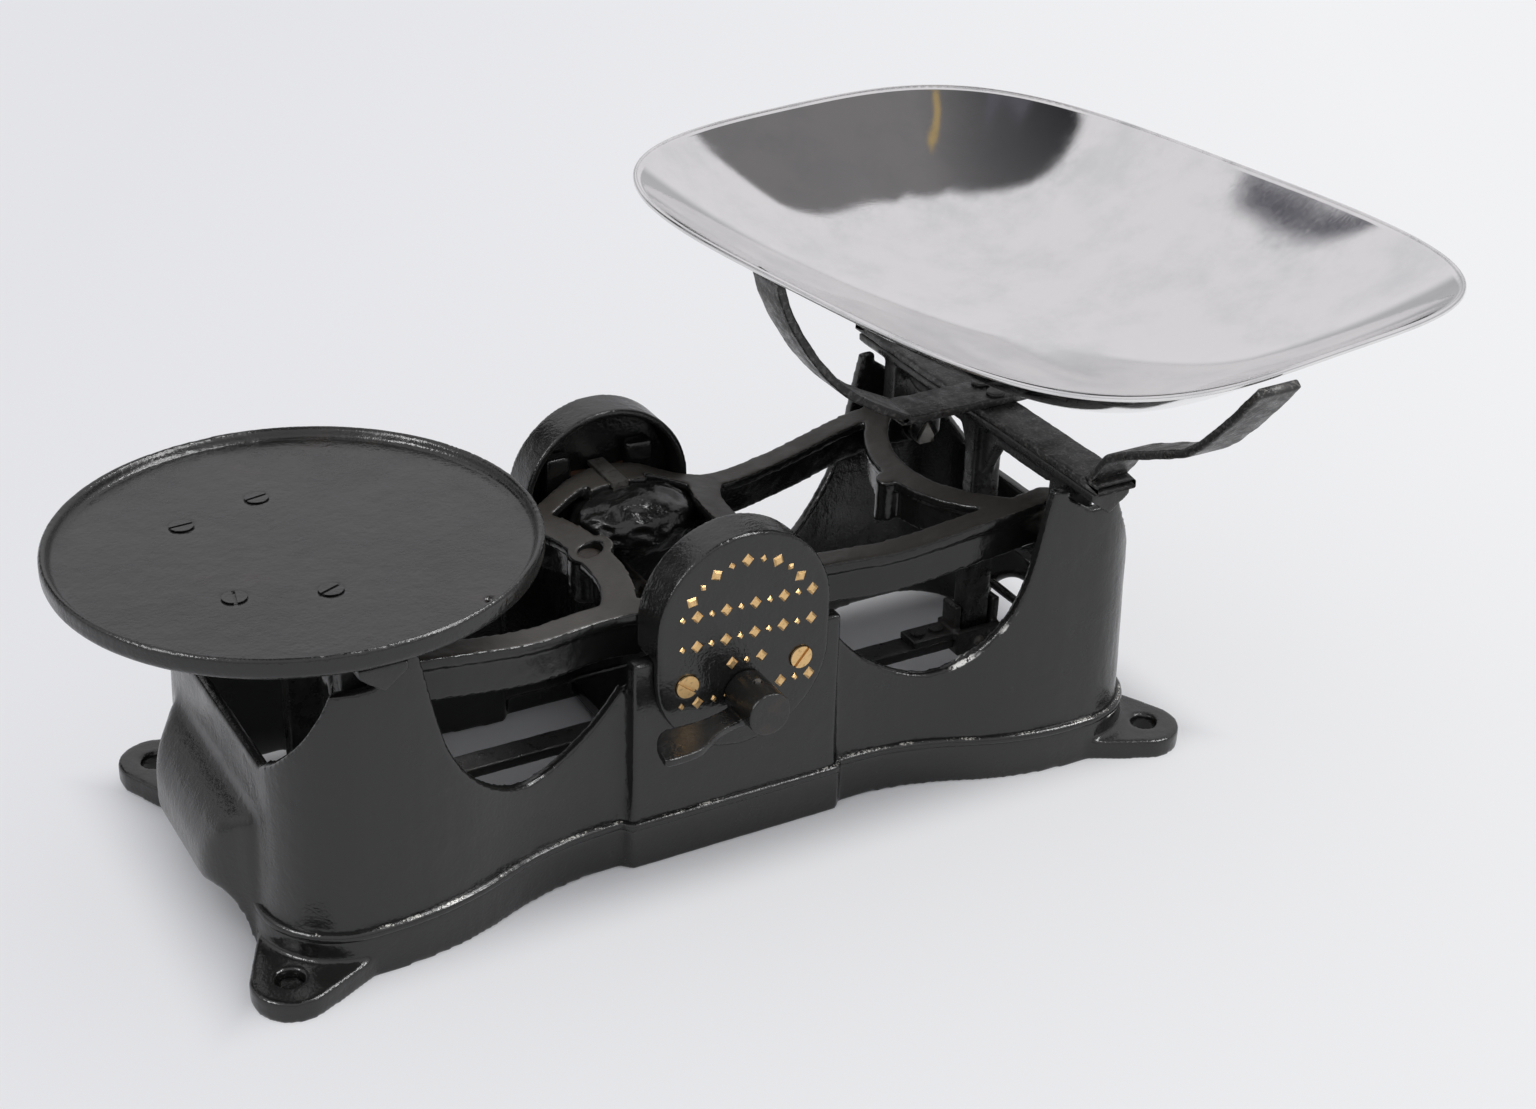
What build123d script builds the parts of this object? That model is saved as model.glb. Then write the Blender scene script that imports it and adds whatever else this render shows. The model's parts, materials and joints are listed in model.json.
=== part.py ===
from build123d import *
import os
from math import asin, atan2, cos, radians, sin, sqrt

# Equal-arm counter scale, in millimetres. X runs along the beam from the weight plate to the
# goods pan, Y runs to the back and Z up. The origin is on the table, under the beam's centre.

# Beam and link geometry
arm_length = 190.5
knife_height = 131.0
stay_height = 26.5
knife_gap = 0.3
running_gap = 0.06
face_gap = 0.3

# Base casting: skirt outline, walls and towers
wall = 6.0
skirt_height = 24.0
skirt_step = 3.0
skirt_bevel = 2.0
draft = 0.033
panel_half_width = 58.0
panel_skirt_depth = 82.0
panel_step = 4.0
waist_depth = 77.0
waist_start = 66.0
shoulder_depth = 103.0
shoulder_start = arm_length - 0.5
corner_start = arm_length + 7.5
corner_radius = 41.0
tower_height = knife_height + 30.0
tower_shoulder_height = knife_height + 16.0
end_wall_height = knife_height - 32.0
scoop_bottom = knife_height - 67.4

# Fixing lugs
lug_x = arm_length + 47.5
lug_y = shoulder_depth - 4.0
lug_radius = 19.5
lug_thickness = 11.0
lug_hole_radius = 6.75

# Hooded hand holds low on the ends
pocket_half_width = 58.0
pocket_reach = arm_length + 64.9
pocket_height = 73.0
pocket_wall = 5.0
hand_hold_height = 26.0
hand_hold_half_width = 57.0
end_inside = arm_length + 41.5

# Centre panels, posts and caps
panel_face = 79.8
panel_inner = 71.0
panel_height = knife_height - 18.0
post_inner = 17.5
post_outer = 31.0
post_height = knife_height + 16.0
tongue = 2.0
cap_radius = 46.75
cap_top_centre = knife_height - 5.0
cap_bottom_centre = knife_height - 26.5
cap_plate = 5.0
cap_wall = 4.0
cap_open_edge = 62.5
cap_screw_x = 31.0
cap_screw_z = knife_height - 32.5
cap_screw_head = 5.8
screw_head_rise = 1.0
cap_screw_shank = 2.6
cap_screw_length = 10.0
slot_width = 1.6
slot_depth = 1.3

# Relieving lever
lever_height = knife_height - 42.6
shaft_radius = 5.0
lever_boss_radius = 11.2
lever_boss_length = 25.8
shaft_cover = 3.0
lever_blade = 4.0
lever_blade_top = 4.4
cam_radius = 7.4
cam_throw = 3.0
cam_gap = 0.6
cam_width = 7.0
lever_pin_radius = 1.5
collar_radius = 9.0
collar_width = 7.0

# Bearing blocks of the centre knives
block_top = knife_height + 3.0
block_drop = 1.5
block_gap = 0.3

# Beam casting. Its widest half depth leaves room for the crossbars' lugs inside the towers.
beam_half_depth = shoulder_depth - 32.0
beam_waist_half_depth = 57.6
flange_width = 14.5
flange_thickness = 5.5
web_thickness = 7.0
web_inset = 1.5
beam_depth = 23.5
waist_member_inner = 31.0
waist_member_width = 16.0
fork_radius = 75.0
fork_centre = arm_length + 29.5
fork_width = 13.5
centre_boss_radius = 17.0
end_boss_radius = 11.0
plug_boss_radius = 11.5
plug_radius = 6.0
knife_half_width = 4.5
knife_slope = 8.0
knife_back = 4.0
centre_knife_slope = 6.0
centre_knife_back = 2.5
centre_knife_inner = 48.0
centre_knife_outer = 77.5
end_knife_inner = beam_half_depth - 18.0
end_knife_outer = beam_half_depth + 13.5

# Crossbars with their legs
bar_half_length = shoulder_depth + 7.3
bar_half_width = 11.35
bar_thickness = 4.3
goods_bar_top = knife_height + 33.5
weight_bar_top = knife_height + 35.5
keel_depth = 13.2
web_bottom_depth = 16.0
bar_web = 8.0
web_half_length = 62.0
leg_width = 17.5
leg_depth = 10.0
leg_bottom = 17.0
lug_inner = beam_half_depth + 1.5
lug_outer = beam_half_depth + 13.0
lug_half_width = 10.5
bearing_half_width = 7.0
bearing_height = 9.0
bearing_bottom = knife_height - 4.0
bar_swing = 4.4

# Weight plate
plate_radius = 113.2
plate_centre_x = 1.5 - arm_length
plate_rim_height = 11.2
plate_thickness = 6.2
plate_lip = 3.6
plate_round = 4.0
plate_screw_head = 5.6
plate_screw_near = 49.0
plate_screw_far_x = 40.0
plate_screw_far_y = 37.0
outrigger_width = 16.0
plate_hole_radius = 1.6
plate_hole_circle = 104.5

# Stay, its stirrups and its bracket
stay_width = 15.0
stay_thickness = 6.0
stay_eye_radius = 8.5
stay_pin_radius = 3.0
loop_pin_gap = 0.3
stirrup_gap_x = 1.6
stirrup_gap_y = 1.5
stirrup_wall = 4.0
stirrup_bottom = 20.0
stirrup_side_top = 34.0
stirrup_ear_top = 48.0
stirrup_tongue = 26.0
stirrup_tongue_thickness = 4.0
stay_rivet_radius = 2.4
bracket_cheek = 4.0
bracket_gap = 0.4
bracket_plate = 4.0
bracket_half_length = 15.0
bracket_half_width = 26.0
bridge_bottom = 4.0
bridge_top = 13.0
bridge_half_width = 17.0
bracket_screw_y = 19.0
bracket_screw_radius = 2.5
bracket_screw_head = 4.5

# Pan arms
arm_strip = 4.5
long_arm_width = 23.0
cross_arm_width = 25.0
arm_tip_gap = 0.3
rivet_radius = 3.2
rivet_head = 5.0
rivet_spacing = 7.0

# Goods pan: a four-sided oval dish that lies a little askew on its arms
pan_half_width = 152.3
pan_half_length = 202.4
pan_side_radius = 985.7
pan_end_radius = 910.7
pan_corner_radius = 100.7
pan_rim_height = goods_bar_top + 103.2
pan_depth = 55.0
pan_bowl_power = 3.0
pan_floor_inset = 117.7
pan_sheet = 1.1
pan_wire_radius = 2.3
pan_centre_x = arm_length + 15.5
pan_centre_y = -3.8
pan_turn = 10.3


def high_above():
    """A height over everything under the pan, for blanks and cuts that run out at the top."""
    return knife_height + 70


def face_of(points):
    """A flat face from a closed run of straight lines."""
    return make_face(Polyline(*points, close=True))


def along_y(face, y_low, y_high):
    """A prism of an (x, z) face between two depths."""
    solid = extrude(Plane.XZ * face, y_high - y_low)
    return Pos(0, y_high, 0) * solid


def along_x(face, x_low, x_high):
    """A prism of a (y, z) face between two places along the beam."""
    return Pos(x_low, 0, 0) * extrude(Plane.YZ * face, x_high - x_low)


def block(x_low, x_high, y_low, y_high, z_low, z_high):
    """A box from its lowest to its highest corner."""
    size = (x_high - x_low, y_high - y_low, z_high - z_low)
    middle = ((x_low + x_high) / 2, (y_low + y_high) / 2, (z_low + z_high) / 2)
    return Pos(*middle) * Box(*size)


def rod_y(radius, x, z, y_low, y_high, front_radius=None):
    """A round bar along Y. front_radius tapers its front end."""
    middle = Pos(x, (y_low + y_high) / 2, z) * Rot(X=90)
    if front_radius is None:
        return middle * Cylinder(radius, y_high - y_low)
    return middle * Cone(radius, front_radius, y_high - y_low)


def rod_z(radius, x, y, z_low, z_high):
    """A round bar along Z."""
    return Pos(x, y, (z_low + z_high) / 2) * Cylinder(radius, z_high - z_low)


def both_sides(solid):
    """The solid and its mirror image at the back."""
    return solid + mirror(solid, Plane.XZ)


def both_ends(solid):
    """The solid and its mirror image at the other end of the beam."""
    return solid + mirror(solid, Plane.YZ)


def slotted_screw(head_radius, rise, shank_radius, shank_length):
    """A countersunk slotted screw along Z, with its seat's surface at z = 0."""
    sink = head_radius - shank_radius
    head = Cylinder(head_radius, rise, align=(Align.CENTER, Align.CENTER, Align.MIN))
    cone = Cone(shank_radius, head_radius, sink, align=(Align.CENTER, Align.CENTER, Align.MAX))
    shank_top = Align.CENTER, Align.CENTER, Align.MAX
    shank = Pos(0, 0, -sink) * Cylinder(shank_radius, shank_length, align=shank_top)
    slot = Pos(0, 0, rise - slot_depth / 2) * Box(2.2 * head_radius, slot_width, slot_depth)
    return head + cone + shank, slot


# Base casting

def outline(inset, height):
    """The base's waisted outline, drawn inward by inset, as a face at a height."""
    half = panel_half_width - inset / 2
    panel = panel_skirt_depth - inset
    waist = waist_depth - inset
    rise = shoulder_depth - waist_depth
    run = shoulder_start - waist_start
    bend = (run**2 + rise**2) / (4 * rise)
    waist_centre = Vector(waist_start, waist_depth + bend)
    shoulder_centre = Vector(shoulder_start, shoulder_depth - bend)
    turn = 2 * atan2(rise, run)
    join = waist_centre + Vector(sin(turn), -cos(turn)) * (bend + inset)
    waist_mid = waist_centre + Vector(sin(turn / 2), -cos(turn / 2)) * (bend + inset)
    shoulder_mid = shoulder_centre + Vector(-sin(turn / 2), cos(turn / 2)) * (bend - inset)
    shoulder = shoulder_depth - inset
    corner_y = shoulder_depth - corner_radius
    end = corner_start + corner_radius - inset
    corner_mid = Vector(corner_start, corner_y) + Vector(1, 1) * (corner_radius - inset) / sqrt(2)
    quarter = [
        Line((half, panel), (half + panel_step, waist)),
        Line((half + panel_step, waist), (waist_start, waist)),
        ThreePointArc((waist_start, waist), waist_mid, join),
        ThreePointArc(join, shoulder_mid, (shoulder_start, shoulder)),
        Line((shoulder_start, shoulder), (corner_start, shoulder)),
        ThreePointArc((corner_start, shoulder), corner_mid, (end, corner_y)),
    ]
    edges = []
    for flip_x in (False, True):
        for flip_y in (False, True):
            for edge in quarter:
                edge = mirror(edge, Plane.YZ) if flip_x else edge
                edge = mirror(edge, Plane.XZ) if flip_y else edge
                edges.append(edge)
    for side in (-1, 1):
        edges.append(Line((-half, side * panel), (half, side * panel)))
        edges.append(Line((side * end, -corner_y), (side * end, corner_y)))
    wire = Wire(Wire.combine([e.edges()[0] if not isinstance(e, Edge) else e for e in edges])[0])
    return Pos(0, 0, height) * Face(wire)


def drawn_walls(inset, z_low, z_high):
    """A solid of the outline that leans inward with the casting's draft."""
    low = inset + (z_low - skirt_height) * draft
    high = inset + (z_high - skirt_height) * draft
    return loft([outline(low, z_low), outline(high, z_high)], ruled=True)


def scoop():
    """The open scoop between a centre panel and a tower, through both long walls."""
    top = tower_height + 20
    inner_x = panel_half_width - 8
    outer_x = arm_length - 21.5
    curve = Spline(
        (inner_x, panel_height),
        (inner_x + 20, scoop_bottom + 20.5),
        (inner_x + 38, scoop_bottom + 7),
        ((inner_x + outer_x) / 2 + 3.2, scoop_bottom),
        (outer_x - 32.5, scoop_bottom + 13),
        (outer_x - 18.5, scoop_bottom + 30.5),
        (outer_x - 5, tower_height - 23),
        (outer_x, tower_height),
    )
    edges = [
        curve,
        Line((outer_x, tower_height), (outer_x, top)),
        Line((outer_x, top), (inner_x, top)),
        Line((inner_x, top), (inner_x, panel_height)),
    ]
    reach = shoulder_depth + 10
    return along_y(make_face(edges), -reach, reach)


def tower_notch():
    """The gap over a tower in which a crossbar's keel swings."""
    top = tower_height + 20
    inner = arm_length - bar_half_width - 1.7
    keel = goods_bar_top - keel_depth - bar_swing
    side = goods_bar_top - bar_thickness - bar_swing
    face = face_of([
        (inner, top),
        (inner, side),
        (arm_length, keel),
        (arm_length + 2, tower_shoulder_height),
        (corner_start + corner_radius + 10, tower_shoulder_height),
        (corner_start + corner_radius + 10, top),
    ])
    reach = shoulder_depth + 10
    return along_y(face, -reach, reach)


def end_notch():
    """The open top of an end wall, which rises round each corner to a tower."""
    top = tower_height + 20
    low = end_wall_height
    corner_y = shoulder_depth - corner_radius
    middle = block(arm_length + 6, corner_start + corner_radius + 10, -corner_y, corner_y, low, top)
    curve = Spline((29, low), (18, low + 5.5), (6.6, low + 16), (0.2, low + 23), (-5.8, low + 32),
                   (-10.3, low + 40), (-13, low + 48), (-14.5, low + 57))
    face = make_face([curve, Line((-14.5, low + 57), (-14.5, top)), Line((-14.5, top), (60, top)),
                      Line((60, top), (60, low)), Line((60, low), (29, low))])
    rise = Pos(corner_start, corner_y, 0) * Rot(Z=-45) * along_y(face, 6, 60)
    return middle + rise + mirror(rise, Plane.XZ)


def pocket_body(side_points, reach, half, low):
    """A bulge low on an end wall: its side profile within its plan, which narrows outward."""
    inside = side_points[0][0]
    curve = Spline(*side_points)
    side = make_face([
        curve,
        Line(curve @ 1, (reach, low)),
        Line((reach, low), (inside, low)),
        Line((inside, low), curve @ 0),
    ])
    shoulder = Spline((reach - 16.4, half), (reach - 10.9, half - 8), (reach - 5.4, half - 14),
                      (reach - 1.4, half - 21), (reach, half - 30))
    plan = make_face([
        Line((inside, half), (reach - 16.4, half)),
        shoulder,
        Line((reach, half - 30), (reach, 30 - half)),
        mirror(shoulder, Plane.XZ),
        Line((reach - 16.4, -half), (inside, -half)),
        Line((inside, -half), (inside, half)),
    ])
    return along_y(side, -half, half) & (Pos(0, 0, low) * extrude(plan, pocket_height + 10))


def pocket():
    """The hood over an end wall's hand hold."""
    top = pocket_height
    reach = pocket_reach
    points = [(end_inside, top), (reach - 15, top - 6), (reach - 7, top - 14),
              (reach - 1.6, top - 24), (reach, top - 34)]
    return pocket_body(points, reach, pocket_half_width, 0)


def pocket_hollow():
    """The inside of the hood, open to the base's inside and at the bottom."""
    reach = pocket_reach - pocket_wall
    top = pocket_height - 15
    points = [(end_inside - 4, top), (reach - 14, top - 2), (reach - 5, top - 8),
              (reach - 1, top - 16), (reach, top - 24)]
    return pocket_body(points, reach, pocket_half_width - pocket_wall, -1)


def hand_hold():
    """The arch under the hood, through the end wall."""
    high = hand_hold_height
    half = hand_hold_half_width
    curve = Spline((half, 0), (half - 3.5, high * 0.31), (half - 6.5, high * 0.62),
                   (half - 12, high * 0.9), (half - 23, high))
    edges = [
        curve,
        Line((half - 23, high), (23 - half, high)),
        mirror(curve, Plane.YZ),
        Line((-half, 0), (-half, -5)),
        Line((-half, -5), (half, -5)),
        Line((half, -5), (half, 0)),
    ]
    return along_x(make_face(edges), end_inside - 8, pocket_reach + 10)


def lug():
    """One fixing lug with the corner of the base that it grows from."""
    circle = Pos(lug_x - 1.5, lug_y + 0.5) * Circle(lug_radius)
    root = Line((corner_start - 2, shoulder_depth - 1), (corner_start + corner_radius - 1, 58))
    return extrude(make_hull(circle.edges() + root.edges()), lug_thickness)


def centre_panel():
    """The back centre panel with the two posts that guide a bearing block."""
    half = panel_half_width - 1.2
    panel = block(-half, half, panel_inner, panel_face, 0, panel_height)
    posts = both_ends(block(post_inner, post_outer, panel_inner, panel_face, panel_height, post_height))
    middle = (panel_inner + panel_face) / 2
    rib = block(post_inner - tongue, post_inner, middle - tongue, middle + tongue,
                block_bottom(), post_height)
    return panel - bearing_space() + posts + both_ends(rib)


def block_bottom():
    """The underside of a bearing block in its raised, working place."""
    return lever_height + cam_radius + cam_throw + cam_gap


def bearing_space():
    """The opening through both centre panels for the bearing blocks and the cams."""
    swing = cam_radius + cam_throw + 1
    low = block(-swing, swing, -120, 120, lever_height - swing, tower_height)
    slot_bottom = block_bottom() - block_drop - face_gap
    return low + block(-post_inner, post_inner, -120, 120, slot_bottom, tower_height)


def make_base():
    skirt = extrude(outline(0, 0), skirt_height - skirt_bevel, dir=(0, 0, 1))
    bevel = loft([outline(0, skirt_height - skirt_bevel), outline(skirt_bevel, skirt_height)], ruled=True)
    walls = drawn_walls(skirt_step, skirt_height - 1, tower_height)
    cavity = drawn_walls(skirt_step + wall, -2, tower_height + 2)
    openings = both_ends(scoop()) + both_ends(tower_notch()) + both_ends(end_notch())
    shell = skirt + bevel + walls + both_ends(pocket())
    shell = shell - cavity - both_ends(pocket_hollow()) - both_ends(hand_hold()) - openings
    inner_x = panel_half_width - 8
    top_gap = block(-inner_x, inner_x, -120, 120, panel_height, tower_height + 20)
    shell = shell - top_gap
    inner_space = block(-panel_half_width, panel_half_width, -panel_inner, panel_inner,
                        bridge_top, tower_height)
    bridge = block(-bridge_half_width, bridge_half_width, -panel_inner, panel_inner,
                   bridge_bottom, bridge_top)
    lugs = both_sides(both_ends(lug()))
    lug_holes = both_sides(both_ends(rod_z(lug_hole_radius, lug_x, lug_y, -5, lug_thickness + 5)))
    base = shell - bearing_space() + both_sides(centre_panel()) + bridge
    base = base - inner_space + lugs - drawn_walls(skirt_step + wall, -2, lug_thickness + 1) + bridge
    base = base - lug_holes
    screw_holes = both_sides(both_ends(rod_y(cap_screw_shank, cap_screw_x, cap_screw_z, 70, 90)))
    bracket_holes = both_sides(rod_z(bracket_screw_radius, 0, bracket_screw_y, 0, bridge_top + 1))
    return base - screw_holes - bracket_holes


# Caps over the centre bearings

def stadium(radius):
    """The cap's outline: straight sides between a round top and a round bottom."""
    high = cap_top_centre
    low = cap_bottom_centre
    return make_face([
        Line((-radius, low), (-radius, high)),
        ThreePointArc((-radius, high), (0, high + radius), (radius, high)),
        Line((radius, high), (radius, low)),
        ThreePointArc((radius, low), (0, low - radius), (-radius, low)),
    ])


def cap_screws():
    """The pair of brass screws of the back cap, and their slots."""
    screw, slot = slotted_screw(cap_screw_head, screw_head_rise, cap_screw_shank, cap_screw_length)
    face = panel_face + cap_plate
    places = [(cap_screw_x, -50), (-cap_screw_x, 38)]
    bodies = [Pos(x, face, cap_screw_z) * Rot(X=-90) * screw for x, _ in places]
    slots = [Pos(x, face, cap_screw_z) * Rot(X=-90) * Rot(Z=turn) * slot for x, turn in places]
    return bodies, slots


def make_back_cap():
    plate = along_y(stadium(cap_radius), panel_face, panel_face + cap_plate)
    hood = along_y(stadium(cap_radius), cap_open_edge, panel_face)
    hollow = along_y(stadium(cap_radius - cap_wall), cap_open_edge - 1, panel_face)
    below = block(-60, 60, cap_open_edge - 1, panel_face, 0, panel_height)
    cap = plate + (hood - hollow - below)
    bodies, _ = cap_screws()
    for body in bodies:
        cap = cap - body
    return cap - rod_y(shaft_radius + running_gap, 0, lever_height, panel_face - 1, 100)


def make_back_cap_screws():
    bodies, slots = cap_screws()
    return Compound([(body - slot).solid() for body, slot in zip(bodies, slots)])


# Centre bearing blocks, which the lever's cams carry

def make_back_bearing_block():
    half = post_inner - running_gap
    bottom = block_bottom()
    front = panel_face - face_gap
    body = block(-half, half, panel_inner + face_gap, front, bottom, block_top)
    middle = (panel_inner + panel_face) / 2
    groove = block(half - tongue - 0.2, half + 1, middle - tongue - 0.1, middle + tongue + 0.1,
                   bottom - 1, block_top + 1)
    apex = knife_height - knife_gap
    mouth = (block_top - apex) * 1.6
    vee = face_of([(0, apex), (mouth, block_top), (-mouth, block_top)])
    return body - both_ends(groove) - along_y(vee, 60, 90)


# Relieving lever: shaft, cams, handle

def cap_face():
    """How far a cap's outer face stands from the beam's middle."""
    return panel_face + cap_plate


def make_lever_shaft():
    front = cap_face() + lever_boss_length - shaft_cover
    return rod_y(shaft_radius, 0, lever_height, -front, cap_face() + collar_width + 1)


def make_back_cam():
    low = panel_inner + 1
    high = low + cam_width
    disc = rod_y(cam_radius, 0, lever_height + cam_throw, low, high)
    return disc - make_lever_shaft()


def lever_pin_y():
    """Where the taper pin crosses the lever's boss."""
    return -cap_face() - lever_boss_length / 2


def make_lever_handle():
    face = -cap_face()
    boss = rod_y(lever_boss_radius, 0, lever_height, face - lever_boss_length, face - face_gap)
    back_edge = Spline((-4, face - 0.7), (-20.6, face - 7.1), (-46.5, face - 8.2))
    front_edge = Spline((-56, face - 33.4), (-47.4, face - 32.9), (-39.2, face - 31.4),
                        (-29.2, face - 24.7), (-19, face - 19.8), (-4, face - 17.4))
    tip = Spline((-46.5, face - 8.2), (-53.5, face - 13.5), (-57.4, face - 21.5), (-59, face - 29.5))
    corner = ThreePointArc((-59, face - 29.5), (-58.5, face - 32.4), (-56, face - 33.4))
    blade = make_face([back_edge, tip, corner, front_edge, Line((-4, face - 17.4), (-4, face - 0.7))])
    blade = Pos(0, 0, lever_height - lever_blade_top - lever_blade) * extrude(blade, lever_blade, dir=(0, 0, 1))
    root = block(-7, 0, face - 17.4, face - 0.7, lever_height - lever_blade_top - lever_blade, lever_height)
    return boss + blade + root - make_lever_shaft() - make_lever_pin()


def make_lever_pin():
    reach = lever_boss_radius + 1
    return rod_z(lever_pin_radius, 0, lever_pin_y(), lever_height - reach, lever_height + reach)


def make_shaft_collar():
    low = cap_face() + face_gap
    ring = rod_y(collar_radius, 0, lever_height, low, low + collar_width)
    return ring - make_lever_shaft()


# Beam casting: two rails on edge, joined at the waist and at the forks

# Each rail's outer edge by the centre bearings, as (share of the arm, distance from the beam's middle)
rail_centre = [(0, 70.9), (0.08, 69.7), (0.15, 66.5), (0.22, 61.0), (0.295, beam_waist_half_depth)]
# Its outer edge beyond the waist, as (share of the arm, share of the way to the widest half depth)
rail_bow = [(0.42, 0.231), (0.525, 0.537), (0.655, 0.806), (0.787, 1.0), (0.908, 0.963), (0.992, 0.739)]
# The rails' top line, as (share of the arm, height over the knife line)
rail_top = [(0, 8.0), (0.08, 7.0), (0.2, -0.5), (0.29, -2.8), (0.42, -2.4), (0.505, -1.4),
            (0.655, 3.2), (0.815, 8.4), (0.92, 10.0), (1.05, 10.0)]
fork_tip_x = arm_length + 8.5


def mirrored(points):
    """The points of a symmetric curve, from its half on the goods side in shares of the arm."""
    half = [(share * arm_length, y) for share, y in points]
    return [(-x, y) for x, y in reversed(half[1:])] + half


def profile_band(upper, lower):
    """A slab that follows the rails' top line, between two depths under it."""
    high = [(x, knife_height + z - upper) for x, z in mirrored(rail_top)]
    low = [(x, knife_height + z - lower) for x, z in mirrored(rail_top)]
    face = make_face([Spline(*high), Line(high[-1], low[-1]), Spline(*low), Line(low[0], high[0])])
    return along_y(face, -100, 100)


def rail_curve(shift):
    """One rail's outer edge, moved inward by shift."""
    bow = beam_half_depth - beam_waist_half_depth
    outer = rail_centre + [(share, beam_waist_half_depth + way * bow) for share, way in rail_bow]
    return [(x, y - shift) for x, y in mirrored(outer)]


def rail_plan(outer_shift, inner_shift):
    """The plan of the back rail, between two lines inside its outer edge."""
    high = rail_curve(outer_shift)
    low = rail_curve(inner_shift)
    tip = (fork_tip_x, (high[-1][1] + low[-1][1]) / 2 - 1.0)
    far = (-tip[0], tip[1])
    return make_face([
        Spline(*high), Line(high[-1], tip), Line(tip, low[-1]),
        Spline(*low), Line(low[0], far), Line(far, high[0]),
    ])


def ring_sector(outer_radius, inner_radius):
    """The plan of the fork's curved cross member on the goods side."""
    half = beam_half_depth - 7
    big = asin(half / outer_radius)
    small = asin(half / inner_radius)
    centre = Vector(fork_centre, 0)
    big_end = centre + Vector(-cos(big), sin(big)) * outer_radius
    small_end = centre + Vector(-cos(small), sin(small)) * inner_radius
    big_mid = centre - Vector(outer_radius, 0)
    small_mid = centre - Vector(inner_radius, 0)
    flip = Vector(0, -2 * half)
    return make_face([
        ThreePointArc(big_end, big_mid, big_end + flip),
        Line(big_end + flip, small_end + flip),
        ThreePointArc(small_end + flip, small_mid, small_end),
        Line(small_end, big_end),
    ])


def waist_member(inner, width, reach):
    """The plan of a cross member at the beam's waist, flared towards the rails."""
    near = Spline((inner + 8, reach), (inner + 1, 22), (inner, 0), (inner + 1, -22), (inner + 8, -reach))
    outer = inner + width
    far = Spline((outer + 14, -reach), (outer + 1, -22), (outer, 0), (outer + 1, 22), (outer + 14, reach))
    return make_face([near, Line(near @ 1, far @ 0), far, Line(far @ 1, near @ 0)])


def make_beam():
    flange = profile_band(0, flange_thickness)
    full = profile_band(0, beam_depth)
    rail = extrude(rail_plan(0, flange_width), high_above()) & flange
    web = extrude(rail_plan(web_inset, web_inset + web_thickness), high_above()) & full
    rails = both_sides(rail + web)
    fork = extrude(ring_sector(fork_radius + fork_width, fork_radius), high_above()) & flange
    fork_web = extrude(ring_sector(fork_radius + fork_width - 3, fork_radius + fork_width - 9), high_above()) & full
    reach = 48.0
    member = extrude(waist_member(waist_member_inner, waist_member_width, reach), high_above()) & flange
    member_web = extrude(waist_member(waist_member_inner + 5, 6, reach), high_above()) & full
    bosses = rod_z(6.5, fork_centre - fork_radius - fork_width, 0, knife_height - 30, high_above()) & full
    beam = rails + both_ends(fork + fork_web + member + member_web + bosses)
    plug_x = waist_member_inner + waist_member_width / 2 - 1
    plug_boss = extrude(Pos(-plug_x, 5) * Circle(plug_boss_radius), high_above()) & full
    beam = beam + plug_boss
    centre_low = centre_knife_inner + 1
    centre_high = rail_centre[0][1] - web_inset - 1
    centre_boss = rod_y(centre_boss_radius, 0, knife_height + 0.5, centre_low, centre_high)
    end_boss = rod_y(end_boss_radius, arm_length, knife_height - 1.5, end_knife_inner + 1, beam_half_depth - 4)
    roof = profile_band(0, 60)
    beam = beam + both_sides((centre_boss + both_ends(end_boss)) & roof)
    beam = beam - plug_solid(high_above()) - make_centre_knives() - make_end_knives(1) - make_end_knives(-1)
    return beam


def plug_solid(top):
    """The lead-filled adjusting plug in the waist member on the weight side, up to a height."""
    plug_x = waist_member_inner + waist_member_width / 2 - 1
    return rod_z(plug_radius, -plug_x, 5, knife_height - 16, top)


def knife_face(x, slope, back):
    """A knife's section: its two slopes rise or fall from the edge by slope, its back by back."""
    return face_of([
        (x, knife_height),
        (x + knife_half_width, knife_height + slope),
        (x + knife_half_width, knife_height + back),
        (x - knife_half_width, knife_height + back),
        (x - knife_half_width, knife_height + slope),
    ])


def make_centre_knives():
    face = knife_face(0, centre_knife_slope, centre_knife_slope + centre_knife_back)
    return both_sides(along_y(face, centre_knife_inner, centre_knife_outer))


def make_end_knives(side):
    face = knife_face(side * arm_length, -knife_slope, -knife_slope - knife_back)
    return both_sides(along_y(face, end_knife_inner, end_knife_outer))


# Crossbars, each cast in one piece with its leg

def bearing_face(x):
    """The section of an end bearing, with its inverted vee over the knife."""
    apex = knife_height + knife_gap
    mouth = (apex - bearing_bottom) * 1.5
    top = bearing_bottom + bearing_height + 2
    return face_of([
        (x - bearing_half_width, bearing_bottom),
        (x - mouth, bearing_bottom),
        (x, apex),
        (x + mouth, bearing_bottom),
        (x + bearing_half_width, bearing_bottom),
        (x + bearing_half_width, top),
        (x - bearing_half_width, top),
    ])


def make_bearings(side):
    return both_sides(along_y(bearing_face(side * arm_length), lug_inner, lug_outer))


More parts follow.
